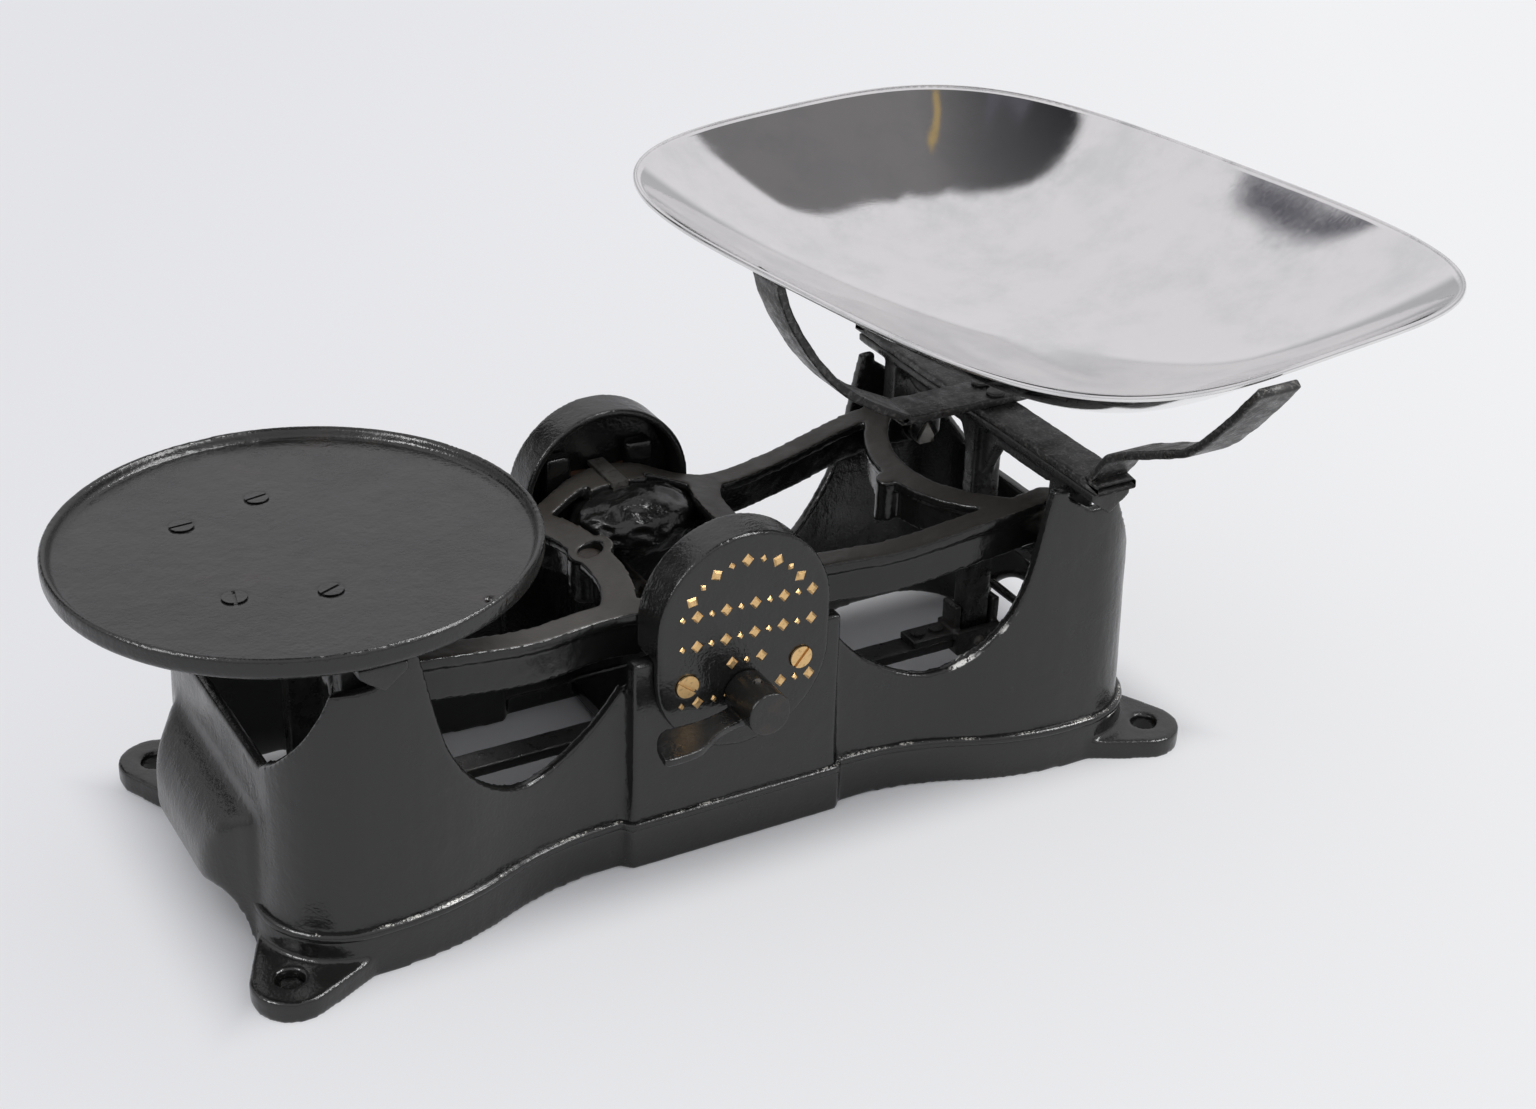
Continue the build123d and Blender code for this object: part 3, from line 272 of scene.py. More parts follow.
class Graph:
    """Short names for building a tree of shader nodes."""

    def __init__(self, tree):
        self.tree = tree

    def add(self, kind, **values):
        node = self.tree.nodes.new(kind)
        for name, value in values.items():
            setattr(node, name, value)
        return node

    def fill(self, socket, value):
        """Gives a socket a number, a colour or a vector, or links an output to it."""
        if isinstance(value, (int, float)):
            socket.default_value = value
        elif isinstance(value, tuple):
            socket.default_value = (*value, 1)[:len(socket.default_value)]
        else:
            self.tree.links.new(value, socket)

    def math(self, operation, a, b):
        node = self.add("ShaderNodeMath", operation=operation)
        self.fill(node.inputs[0], a)
        self.fill(node.inputs[1], b)
        return node.outputs[0]

    def vector(self, operation, a, b=(0, 0, 0)):
        node = self.add("ShaderNodeVectorMath", operation=operation)
        self.fill(node.inputs[0], a)
        self.fill(node.inputs[1], b)
        return node.outputs

    def split(self, vector):
        node = self.add("ShaderNodeSeparateXYZ")
        self.fill(node.inputs[0], vector)
        return node.outputs

    def ramp(self, value, low, high, out_low=0.0, out_high=1.0, shape="SMOOTHSTEP"):
        node = self.add("ShaderNodeMapRange", interpolation_type=shape)
        self.fill(node.inputs["Value"], value)
        self.fill(node.inputs["From Min"], low)
        self.fill(node.inputs["From Max"], high)
        self.fill(node.inputs["To Min"], out_low)
        self.fill(node.inputs["To Max"], out_high)
        return node.outputs["Result"]

    def mix(self, share, low, high):
        node = self.add("ShaderNodeMix", data_type="RGBA")
        for index, value in ((0, share), (6, low), (7, high)):
            self.fill(node.inputs[index], value)
        return node.outputs[2]

    def switch_rays(self, plain, shown, share=1.0):
        """Mixes two shaders: camera, glossy and transmission rays meet a share of shown."""
        rays = self.add("ShaderNodeLightPath").outputs
        direct = self.math("MAXIMUM", rays["Is Camera Ray"], rays["Is Glossy Ray"])
        direct = self.math("MAXIMUM", direct, rays["Is Transmission Ray"])
        node = self.add("ShaderNodeMixShader")
        self.fill(node.inputs[0], self.math("MULTIPLY", direct, share))
        self.fill(node.inputs[1], plain)
        self.fill(node.inputs[2], shown)
        return node.outputs[0]


class Surface(Graph):
    """The nodes of a new material."""

    def __init__(self, name):
        self.material = bpy.data.materials.new(name)
        self.material.use_nodes = True
        super().__init__(self.material.node_tree)
        self.shader = self.tree.nodes["Principled BSDF"]
        self.place = self.add("ShaderNodeTexCoord").outputs["Object"]

    def set(self, **values):
        for name, value in values.items():
            self.fill(self.shader.inputs[name.replace("_", " ")], value)

    def noise(self, scale, detail=4.0, rough=0.6, stretch=None, distortion=0.0):
        vector = self.place
        if stretch:
            mapping = self.add("ShaderNodeMapping")
            self.fill(mapping.inputs["Scale"], stretch)
            self.fill(mapping.inputs["Vector"], self.place)
            vector = mapping.outputs[0]
        node = self.add("ShaderNodeTexNoise")
        self.fill(node.inputs["Vector"], vector)
        self.fill(node.inputs["Scale"], scale)
        self.fill(node.inputs["Detail"], detail)
        self.fill(node.inputs["Roughness"], rough)
        self.fill(node.inputs["Distortion"], distortion)
        return node.outputs["Fac"]

    def bump(self, height, distance, strength, under=None):
        node = self.add("ShaderNodeBump")
        self.fill(node.inputs["Distance"], distance)
        self.fill(node.inputs["Strength"], strength)
        self.fill(node.inputs["Height"], height)
        if under is not None:
            self.fill(node.inputs["Normal"], under)
        return node.outputs[0]

    def edge(self):
        return self.add("ShaderNodeAttribute", attribute_name="edge").outputs["Fac"]

    def near(self, centre, radius):
        """1 round a point, and 0 from a radius on."""
        distance = self.vector("DISTANCE", self.place, centre)["Value"]
        return self.ramp(distance, radius, radius * 0.55)

    def facing_up(self):
        normal = self.add("ShaderNodeNewGeometry").outputs["Normal"]
        return self.ramp(self.split(normal)["Z"], 0.75, 0.93)


# Stage and light

def make_camera():
    back = compass(CAMERA_AZIMUTH, CAMERA_ELEVATION)
    right = (-back).cross(Vector((0, 0, 1))).normalized()
    up = right.cross(-back)
    c, s = math.cos(CAMERA_ROLL), math.sin(CAMERA_ROLL)
    axes = Matrix((c * right + s * up, c * up - s * right, back)).transposed().to_4x4()
    data = bpy.data.cameras.new("camera")
    data.sensor_width = SENSOR_WIDTH
    data.lens = FOCAL_PIXELS * SENSOR_WIDTH / PHOTO_WIDTH
    camera = add_object("camera", data)
    camera.matrix_world = Matrix.Translation(CAMERA_TARGET + back * CAMERA_DISTANCE) @ axes
    bpy.context.scene.camera = camera


def make_world():
    """Plain soft light, and the sky that the camera and the mirrors see instead of it."""
    world = bpy.data.worlds.new("studio")
    bpy.context.scene.world = world
    world.use_nodes = True
    world.node_tree.nodes.clear()
    g = Graph(world.node_tree)
    plain = g.add("ShaderNodeBackground")
    g.fill(plain.inputs["Color"], WORLD_LIGHT)
    g.fill(plain.inputs["Strength"], WORLD_LEVEL)
    height = g.split(g.add("ShaderNodeTexCoord").outputs["Generated"])["Z"]
    camera_ray = g.add("ShaderNodeLightPath").outputs["Is Camera Ray"]
    high = g.math("MAXIMUM", g.ramp(height, *SKY_BAND), camera_ray)
    sky = g.add("ShaderNodeBackground")
    g.fill(sky.inputs["Color"], g.mix(high, SKY_LOW, SKY_HIGH))
    output = g.add("ShaderNodeOutputWorld")
    g.fill(output.inputs["Surface"], g.switch_rays(plain.outputs[0], sky.outputs[0]))


def make_floor():
    """A pale floor that glows for the camera and the mirrors, with its colour painted lighter towards the
    right, and its glow taken away inside the base and close round it, which paints a shadow there.
    """
    half = FLOOR_HALF
    corners = [(-half, -half, 0), (half, -half, 0), (half, half, 0), (-half, half, 0)]
    mesh = new_mesh("floor", corners, [(0, 1, 2, 3)])
    floor = add_object("floor", mesh)
    floor.location.z = FLOOR_HEIGHT
    g = Surface("pale_floor")
    rightward = (math.cos(CAMERA_AZIMUTH), math.sin(CAMERA_AZIMUTH), 0)
    across = g.vector("DOT_PRODUCT", g.place, rightward)["Value"]
    # Painted fall of light: the floor is coloured darker to the left and lighter to the right.
    shade = g.mix(g.ramp(across, *FLOOR_PAINTED_FALLOFF_SPAN, shape="LINEAR"), FLOOR_PAINTED_DIM_LEFT, FLOOR_PAINTED_LIT_RIGHT)
    glow = g.add("ShaderNodeEmission")
    g.fill(glow.inputs["Color"], shade)
    base_half = ((CORNER_START + CORNER_RADIUS) * MM, WAIST_DEPTH * MM, 0)
    beyond = g.split(g.vector("SUBTRACT", g.vector("ABSOLUTE", g.place)[0], base_half)[0])
    outside = g.math("MAXIMUM", beyond["X"], beyond["Y"])
    # The glow fades under and near the base by a box mask: painted shadow.
    share = g.ramp(outside, *FLOOR_SHADOW_FADE, 0.0, FLOOR_GLOW)
    g.set(Base_Color=shade, Roughness=0.7, Specular_IOR_Level=0.15)
    surface = g.tree.nodes["Material Output"].inputs["Surface"]
    g.fill(surface, g.switch_rays(g.shader.outputs[0], glow.outputs[0], share))
    mesh.materials.append(g.material)


def make_lamp(name, azimuth, elevation, distance, size, power, target=SCALE_MIDDLE):
    """An area lamp that looks at the scale from a compass direction in degrees."""
    away = compass(math.radians(azimuth), math.radians(elevation))
    data = bpy.data.lights.new(name, "AREA")
    data.shape = "RECTANGLE"
    data.size, data.size_y = size
    data.energy = power
    lamp = add_object(name, data)
    lamp.rotation_mode = "QUATERNION"
    lamp.rotation_quaternion = away.to_track_quat("Z", "Y")
    lamp.location = Vector(target) + away * distance
    return lamp


def make_card(name, points, glow, far_glow=None, span=1.0):
    """A glowing card that only mirrors see. Its glow may change along X, over a span."""
    mesh = new_mesh(name, points, [tuple(range(len(points)))])
    card = add_object(name, mesh)
    g = Surface(name)
    g.set(Base_Color=(0, 0, 0), Specular_IOR_Level=0.0, Emission_Color=glow, Emission_Strength=1.0)
    if far_glow:
        along = g.ramp(g.split(g.place)["X"], 0.0, span, shape="LINEAR")
        g.set(Emission_Color=g.mix(along, glow, far_glow))
    mesh.materials.append(g.material)
    card.visible_camera = False
    card.visible_diffuse = False
    card.visible_shadow = False


def level_card(outline, height):
    return [(x, y, height) for x, y in outline]


def upright_card(outline, place, turn):
    return [(place[0] + x * math.cos(turn), place[1] + x * math.sin(turn), z) for x, z in outline]


def make_cards():
    """The dark ceiling over the table, a warm tube under it and the cards that stand round it."""
    make_card("ceiling_card", level_card(CEILING_OUTLINE, CEILING_HEIGHT), CEILING_GLOW,
              CEILING_FAR_GLOW, CEILING_SPAN)
    make_card("small_card", level_card(SMALL_CARD_OUTLINE, SMALL_CARD_HEIGHT), SMALL_CARD_GLOW)
    make_card("warm_tube", level_card(TUBE_OUTLINE, TUBE_HEIGHT), TUBE_GLOW)
    make_card("back_card", upright_card(BACK_CARD_OUTLINE, BACK_CARD_PLACE, BACK_CARD_TURN),
              BACK_CARD_GLOW)
    make_card("pan_card", upright_card(PAN_CARD_OUTLINE, PAN_CARD_PLACE, PAN_CARD_TURN), PAN_CARD_GLOW)


# Materials

def chipped(g, chips, edge):
    """Where paint has chipped off to white: broken spots on the casting's edges."""
    spots = 0.0
    for centre, radius in chips:
        spots = g.math("MAXIMUM", spots, g.near(centre, radius))
    flakes = g.ramp(g.noise(330.0), 0.43, 0.47)
    return g.math("MULTIPLY", g.math("MULTIPLY", spots, flakes), g.ramp(edge, 0.04, 0.12))


def enamel(name, brush=0.6, rough=0.20, worn=0.5, chips=(), brown=0.12):
    """Thick black enamel brushed over cast iron: orange peel, brush marks, worn edges whose pale grey is
    partly a painted highlight.
    """
    g = Surface(name)
    normal = g.bump(g.noise(120.0), 0.55 * MM, brush)
    brush_marks = g.noise(260.0, detail=2.0, rough=0.5, stretch=(1, 1, 0.12))
    normal = g.bump(brush_marks, 0.16 * MM, brush, normal)
    peel = g.noise(640.0, detail=2.5, rough=0.5)
    normal = g.bump(peel, 0.24 * MM, brush, normal)
    edge = g.edge()
    broken = g.math("MULTIPLY", g.noise(700.0, detail=5.0, rough=0.7), g.noise(55.0, detail=3.0))
    bare = g.ramp(broken, 0.27 - 0.1 * worn, 0.37 - 0.1 * worn)
    wear = g.ramp(g.math("MULTIPLY", edge, bare), 0.25, 0.55)
    stain = g.math("MULTIPLY", g.ramp(g.noise(30.0, detail=5.0, rough=0.65), 0.55, 0.75), brown)
    # Worn edges show pale iron, which is partly a painted highlight on thin edges.
    colour = g.mix(wear, g.mix(stain, BLACK, OLD_RUST), BARE_IRON_AND_HIGHLIGHT)
    roughness = g.ramp(g.noise(38.0, detail=5.0), 0.3, 0.75, rough * 0.75, rough * 1.5)
    if chips:
        white = chipped(g, chips, edge)
        colour = g.mix(white, colour, CHIP_WHITE)
        roughness = g.math("MAXIMUM", roughness, g.math("MULTIPLY", white, 0.8))
    g.set(Base_Color=colour, Roughness=roughness, Normal=normal, IOR=1.56)
    return g.material


def beam_paint():
    """Glossy black below and a dull, rubbed grey-brown on the rails' top faces."""
    g = Surface("beam_paint")
    up = g.facing_up()
    normal = g.bump(g.noise(170.0), 0.6 * MM, 0.55)
    normal = g.bump(g.noise(900.0, detail=3.0), 0.08 * MM, 0.5, normal)
    broken = g.ramp(g.noise(600.0, detail=5.0, rough=0.7), 0.40, 0.55)
    wear = g.ramp(g.math("MULTIPLY", g.edge(), broken), 0.15, 0.45)
    top = g.mix(g.noise(45.0, detail=5.0, rough=0.65), (0.020, 0.018, 0.016), (0.040, 0.035, 0.029))
    stain = g.ramp(g.noise(70.0), 0.58, 0.72, 0.0, 0.6)
    top = g.mix(stain, top, (0.012, 0.010, 0.009))
    colour = g.mix(wear, g.mix(up, BLACK, top), (0.42, 0.40, 0.36))
    gloss = g.ramp(g.noise(60.0, rough=0.55), 0.3, 0.7, 0.12, 0.26)
    roughness = g.math("ADD", g.math("MULTIPLY", up, 0.28), gloss)
    g.set(Base_Color=colour, Roughness=roughness, Normal=normal)
    return g.material


def wrought_iron(name, rough, brown):
    """Rough blacked strip or casting, pebbled, with rubbed corners."""
    g = Surface(name)
    normal = g.bump(g.noise(90.0, detail=3.0), 0.5 * MM, 0.5)
    normal = g.bump(g.noise(520.0), 0.30 * MM, 1.0, normal)
    broken = g.ramp(g.noise(520.0, detail=5.0, rough=0.7), 0.42, 0.6)
    wear = g.ramp(g.math("MULTIPLY", g.edge(), broken), 0.2, 0.6)
    stain = g.ramp(g.noise(48.0, detail=5.0, rough=0.65), 0.45, 0.75, 0.0, brown)
    colour = g.mix(stain, (0.016, 0.016, 0.016), (0.040, 0.030, 0.022))
    colour = g.mix(wear, colour, (0.20, 0.19, 0.18))
    roughness = g.ramp(g.noise(140.0), 0.3, 0.7, rough * 0.6, rough * 1.3)
    g.set(Base_Color=colour, Roughness=roughness, Normal=normal)
    return g.material


def rusty(name, rust):
    """Bare iron, rusted over a share of its surface."""
    g = Surface(name)
    grain = g.noise(500.0, detail=5.0, rough=0.7)
    normal = g.bump(grain, 0.3 * MM, 0.8)
    share = g.ramp(g.noise(110.0, detail=5.0, rough=0.65), 0.6 - 0.35 * rust, 0.85 - 0.35 * rust)
    colour = g.mix(share, (0.020, 0.016, 0.013), (0.11, 0.050, 0.024))
    g.set(Base_Color=colour, Roughness=g.ramp(grain, 0.3, 0.7, 0.45, 0.8), Normal=normal)
    return g.material


def steel():
    """Plain machined steel with dirt in its grain."""
    g = Surface("plain_steel")
    grain = g.noise(420.0, detail=3.0, stretch=(1, 14, 1))
    normal = g.bump(grain, 0.05 * MM, 0.6)
    dirt = g.ramp(g.noise(130.0, detail=5.0, rough=0.65), 0.45, 0.7)
    g.set(Base_Color=g.mix(dirt, (0.30, 0.29, 0.27), (0.045, 0.034, 0.026)), Metallic=0.9,
          Roughness=g.ramp(grain, 0.3, 0.7, 0.28, 0.49), Normal=normal)
    return g.material


def brass():
    """Old brass, brown in places."""
    g = Surface("brass_screws")
    grain = g.noise(900.0, detail=3.0, stretch=(1, 1, 8))
    normal = g.bump(grain, 0.05 * MM, 0.5)
    dirt = g.ramp(g.noise(420.0, detail=5.0, rough=0.65), 0.5, 0.72, 0.0, 0.55)
    g.set(Base_Color=g.mix(dirt, (0.78, 0.52, 0.24), (0.16, 0.09, 0.04)), Metallic=0.9,
          Roughness=g.ramp(grain, 0.3, 0.7, 0.28, 0.5), Normal=normal)
    return g.material


def pan_steel(name, rough, scratch):
    """Polished sheet: fine scratches in two directions and a faint cloudy haze."""
    g = Surface(name)
    along = g.noise(260.0, detail=2.0, rough=0.5, stretch=(0.6, 14, 1), distortion=0.4)
    across = g.noise(240.0, detail=2.0, rough=0.5, stretch=(12, 0.7, 1), distortion=0.6)
    fine = g.noise(1500.0, detail=2.0, rough=0.5)
    normal = g.bump(along, 0.010 * MM, scratch)
    normal = g.bump(across, 0.006 * MM, scratch, normal)
    normal = g.bump(fine, 0.004 * MM, scratch, normal)
    haze = g.ramp(g.noise(26.0, detail=5.0), 0.4, 0.75)
    g.set(Base_Color=g.mix(haze, (0.80, 0.79, 0.785), (0.70, 0.70, 0.705)), Metallic=1.0,
          Roughness=g.ramp(haze, 0.0, 1.0, rough * 0.7, rough * 1.7), Normal=normal)
    return g.material


# Castings: the solids rounded and roughened as enamelled iron is

def mesh_values(elements, kind):
    """The places or the normals of a mesh's vertices as an array."""
    values = np.zeros(len(elements) * 3, np.float32)
    elements.foreach_get(kind, values)
    return values.reshape(-1, 3)


def evaluated_copy(piece):
    graph = bpy.context.evaluated_depsgraph_get()
    return bpy.data.meshes.new_from_object(piece.evaluated_get(graph), depsgraph=graph)


def inside_share(points, low, high):
    """1 for points inside a box, falling to 0 over a fade outside it."""
    away = np.maximum(np.maximum(np.array(low) * MM - points, points - np.array(high) * MM), 0)
    return np.clip(1 - np.linalg.norm(away, axis=1) / HOOD_FADE, 0, 1)


def soften(piece, boxes):
    """Rounds the casting further inside some boxes."""
    group = piece.vertex_groups.new(name="soft")
    points = mesh_values(piece.data.vertices, "co")
    share = np.max([inside_share(points, low, high) for low, high in boxes], axis=0)
    for level in range(1, SOFT_LEVELS + 1):
        chosen = np.flatnonzero((share > (level - 1) / SOFT_LEVELS) & (share <= level / SOFT_LEVELS))
        group.add(chosen.tolist(), level / SOFT_LEVELS, "REPLACE")
    modifier = piece.modifiers.new("soften", "SMOOTH")
    modifier.vertex_group = "soft"
    modifier.factor = 0.5
    modifier.iterations = HOOD_ROUNDS


def rounded_copies(node, voxel, rounds):
    """The node's solid as a voxel mesh, first with sharp edges and then with rounded ones."""
    draft = add_object("draft", nodes[node].data.copy())
    work = bmesh.new()
    work.from_mesh(draft.data)
    bmesh.ops.remove_doubles(work, verts=work.verts, dist=1e-6)
    work.to_mesh(draft.data)
    work.free()
    remesh = draft.modifiers.new("remesh", "REMESH")
    remesh.mode = "VOXEL"
    remesh.voxel_size = voxel * MM
    sharp = evaluated_copy(draft)
    smooth = draft.modifiers.new("smooth", "SMOOTH")
    smooth.factor = 0.5
    smooth.iterations = rounds
    soft = evaluated_copy(draft)
    bpy.data.objects.remove(draft)
    return sharp, soft


def casting(node, body, material, voxel, rounds, lumps, wave=16.0, soft_boxes=()):
    """Stands for a CAD node: its solid remeshed, with rounded edges and a hand-finished surface."""
    sharp, soft = rounded_copies(node, voxel, rounds)
    places = mesh_values(soft.vertices, "co")
    normals = mesh_values(soft.vertex_normals, "vector")
    lost = ((mesh_values(sharp.vertices, "co") - places) * normals).sum(axis=1) / (voxel * MM)
    bpy.data.meshes.remove(sharp)
    offsets = np.empty(len(places), np.float32)
    for index, point in enumerate(places.tolist()):
        spot = Vector(point) / (wave * MM)
        offsets[index] = ripple(spot, *SURFACE_LUMPS) + ripple(spot, *SURFACE_FINE_LUMPS)
    places = places + normals * (offsets * lumps * MM)[:, None]
    soft.vertices.foreach_set("co", places.astype(np.float32).ravel())
    mark_edges(soft, np.clip(lost * EDGE_GAIN, 0, 1).astype(np.float32))
    soft.materials.clear()
    soft.materials.append(material)
    shade_smooth(soft)
    piece = add_object(node + "_finish", soft)
    if soft_boxes:
        soften(piece, soft_boxes)
    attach(piece, body)
    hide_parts(node)


# Tubes, straps and lumps

def smooth_line(points, step):
    """Points along a Catmull-Rom curve through a line's points, about a step apart."""
    line = [Vector(p) for p in points]
    line = [2 * line[0] - line[1]] + line + [2 * line[-1] - line[-2]]
    result = []
    for before, start, end, after in zip(line, line[1:], line[2:], line[3:]):
        count = max(1, round((end - start).length / step))
        for i in range(count):
            t = i / count
            result.append(0.5 * (2 * start + (end - before) * t
                                 + (2 * before - 5 * start + 4 * end - after) * t**2
                                 + (3 * start - before - 3 * end + after) * t**3))
    result.append(line[-2])
    return result


def wall_faces(count, around, closed):
    """The faces between rings of points, joined end to end if closed."""
    faces = []
    for i in range(count if closed else count - 1):
        k = (i + 1) % count
        for j in range(around):
            m = (j + 1) % around
            faces.append((i * around + j, k * around + j, k * around + m, i * around + m))
    return faces


def tube_mesh(name, rings, closed):
    """A mesh through equal rings of points, joined end to end or capped."""
    count, around = len(rings), len(rings[0])
    faces = wall_faces(count, around, closed)
    if not closed:
        faces.append(tuple(range(around)))
        faces.append(tuple(reversed(range((count - 1) * around, count * around))))
    mesh = new_mesh(name, [point for ring in rings for point in ring], faces)
    mesh.validate()
    shade_smooth(mesh)
    work = bmesh.new()
    work.from_mesh(mesh)
    bmesh.ops.recalc_face_normals(work, faces=work.faces)
    work.to_mesh(mesh)
    work.free()
    return mesh


def strap_section(width):
    """A rounded rectangle, as steps to the side and up from the strap's lower line."""
    corner = STRAP_CORNER
    reach = width / 2 - corner
    rise = STRAP_THICKNESS - 2 * corner
    section = []
    for quarter, (side, up) in enumerate([(1, 0), (1, 1), (-1, 1), (-1, 0)]):
        for step in range(4):
            turn = math.radians(90 * quarter - 90 + 30 * step)
            section.append((side * reach + corner * math.cos(turn),
                            corner + up * rise + corner * math.sin(turn)))
    return section


def make_strap(node, line, along_x, middle, width, material):
    """A forged strap: a rounded rectangle swept along its lower line, with a hammered face."""

    def spot(place, across):
        if along_x:
            return Vector((place.x, middle + across, place.y))
        return Vector((middle - across, place.x, place.y))

    lower = smooth_line(line, STRAP_STEP)
    section = strap_section(width)
    rings = []
    for i, point in enumerate(lower):
        ahead = lower[min(i + 1, len(lower) - 1)] - lower[max(i - 1, 0)]
        up = Vector((-ahead.y, ahead.x)).normalized()
        if up.y < 0:
            up = -up
        ring = []
        for across, lift in section:
            place = point + up * lift
            even = spot(place, across)
            dent = ripple(even, *STRAP_DENTS) + ripple(even, *STRAP_FINE_DENTS)
            ring.append(spot(place + up * dent, across) * MM)
        rings.append(ring)
    mesh = tube_mesh(node, rings, False)
    mark_edges(mesh, [STRAP_WEAR] * len(mesh.vertices))
    mesh.materials.append(material)
    strap = add_object(node + "_strap", mesh)
    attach(strap, "goods_carriage")
    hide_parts(node)


def base_outline(inset):
    """A quarter of the skirt's outline, from the panel's corner to the end wall, drawn inward."""
    rise = SHOULDER_DEPTH - WAIST_DEPTH
    run = SHOULDER_START - WAIST_START
    bend = (run**2 + rise**2) / (4 * rise)
    turn = 2 * math.atan2(rise, run)
    half = PANEL_HALF_WIDTH - inset / 2
    points = [(0, PANEL_DEPTH - inset), (half, PANEL_DEPTH - inset),
              (half + PANEL_STEP, WAIST_DEPTH - inset)]
    for i in range(OUTLINE_STEPS + 1):
        a = turn * i / OUTLINE_STEPS
        points.append((WAIST_START + math.sin(a) * (bend + inset),
                       WAIST_DEPTH + bend - math.cos(a) * (bend + inset)))
    for i in reversed(range(OUTLINE_STEPS)):
        a = turn * i / OUTLINE_STEPS
        points.append((SHOULDER_START - math.sin(a) * (bend - inset),
                       SHOULDER_DEPTH - bend + math.cos(a) * (bend - inset)))
    for i in range(OUTLINE_STEPS + 1):
        a = math.pi / 2 * (1 - i / OUTLINE_STEPS)
        points.append((CORNER_START + math.cos(a) * (CORNER_RADIUS - inset),
                       SHOULDER_DEPTH - CORNER_RADIUS + math.sin(a) * (CORNER_RADIUS - inset)))
    points.append((CORNER_START + CORNER_RADIUS - inset, 0))
    return points


def dense_loop(loop, step):
    """A closed line's points with more between them, about a step apart."""
    dense = []
    for start, end in zip(loop, loop[1:] + loop[:1]):
        start, end = Vector(start), Vector(end)
        count = max(1, round((end - start).length / step))
        dense += [start.lerp(end, i / count) for i in range(count)]
    return dense


def make_skirt_bead(material):
    """The half-round bead that runs round the base on the skirt's ledge, with a pale band along its crest
    that is worn paint and a painted highlight line.
    """
    quarter = base_outline(BEAD_INSET)
    right = quarter + [(x, -y) for x, y in reversed(quarter[:-1])]
    loop = dense_loop(right + [(-x, y) for x, y in reversed(right[1:-1])], BEAD_STEP)
    rings = []
    worn = []
    for i, point in enumerate(loop):
        ahead = loop[(i + 1) % len(loop)] - loop[i - 1]
        out = Vector((-ahead.y, ahead.x)).normalized()
        if out.dot(point) < 0:
            out = -out
        spot = point.to_3d()
        radius = BEAD_RADIUS * (1 + ripple(spot, *BEAD_RIPPLE) + ripple(spot, *BEAD_FINE_RIPPLE))
        ring = []
        for j in range(BEAD_SIDES):
            turn = 2 * math.pi * j / BEAD_SIDES
            place = point + out * (math.cos(turn) * radius)
            ring.append(Vector((place.x, place.y, BEAD_HEIGHT + math.sin(turn) * radius)) * MM)
            # Marks the bead's upper outer side as a worn edge: wear, and a painted highlight line.
            worn.append(BEAD_WEAR_AND_HIGHLIGHT if BEAD_WORN_AND_HIGHLIGHT_TURNS[0] < math.degrees(turn) < BEAD_WORN_AND_HIGHLIGHT_TURNS[1] else 0.0)
        rings.append(ring)
    mesh = tube_mesh("skirt_bead", rings, True)
    mark_edges(mesh, worn)
    mesh.materials.append(material)
    bead = add_object("skirt_bead", mesh)
    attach(bead, "base")


def make_lump(name, centre, radii, material, seed, body):
    """A clotted, heavily painted lump of a casting."""
    mesh = bpy.data.meshes.new(name)
    work = bmesh.new()
    bmesh.ops.create_icosphere(work, subdivisions=5, radius=1.0)
    for vertex in work.verts:
        way = vertex.co.normalized()
        broad = ripple(way, *CLOT_SWELL, shift=(seed, 0, 0))
        swell = 1 + broad + ripple(way, *CLOT_FINE_SWELL, shift=(0, seed, 0))
        vertex.co = Vector([centre[i] + way[i] * radii[i] * swell for i in range(3)]) * MM
    work.to_mesh(mesh)
    work.free()
    shade_smooth(mesh)
    mesh.materials.append(material)
    lump = add_object(name, mesh)
    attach(lump, body)


def add_lozenge(work, x, z, size, turn=0.0):
    """A raised lozenge on the front cap's face, a little taller than wide."""
    c, s = math.cos(turn), math.sin(turn)
    tall = size + LOZENGE_EXTRA_HEIGHT
    corners = [(a * c - b * s, a * s + b * c) for a, b in ((size, 0), (0, tall), (-size, 0), (0, -tall))]
    foot, crest = ORNAMENT_FACE + ORNAMENT_SINK, ORNAMENT_FACE - ORNAMENT_RELIEF
    share = ORNAMENT_TOP_SHARE
    low = [work.verts.new(Vector((x + a, foot, z + b)) * MM) for a, b in corners]
    top = [work.verts.new(Vector((x + share * a, crest, z + share * b)) * MM) for a, b in corners]
    for i in range(4):
        k = (i + 1) % 4
        work.faces.new((low[i], low[k], top[k], top[i]))
    work.faces.new(top)
    work.faces.new(list(reversed(low)))


def make_cap_ornament(material):
    """A plain gilt pattern on the front cap's face: an arc and rows of large and small lozenges."""
    work = bmesh.new()
    for i in range(ARC_COUNT):
        turn = math.radians(ARC_STEP * (i - ARC_COUNT // 2))
        x, z = math.sin(turn) * ARC_RADIUS, ARC_HEIGHT + math.cos(turn) * ARC_RADIUS
        add_lozenge(work, x, z, ARC_SIZES[i % 2], -turn)
    for start, end, height in ROWS:
        count = round((end - start) / ROW_PITCH) + 1
        for i in range(count):
            x = start + (end - start) * i / (count - 1)
            add_lozenge(work, x, height, ROW_SIZES[(i + count + 1) % 2])
    bmesh.ops.recalc_face_normals(work, faces=work.faces)
    mesh = bpy.data.meshes.new("cap_ornament")
    work.to_mesh(mesh)
    work.free()
    mesh.materials.append(material)
    ornament = add_object("cap_ornament", mesh)
    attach(ornament, "base")


# Goods pan

def pan_plan(angle):
    """The unit outline of the pan, squarer than an ellipse."""
    c, s = math.cos(angle), math.sin(angle)
    share = (abs(c) ** PAN_SQUARENESS + abs(s) ** PAN_SQUARENESS) ** (-1 / PAN_SQUARENESS)
    return share * c, share * s


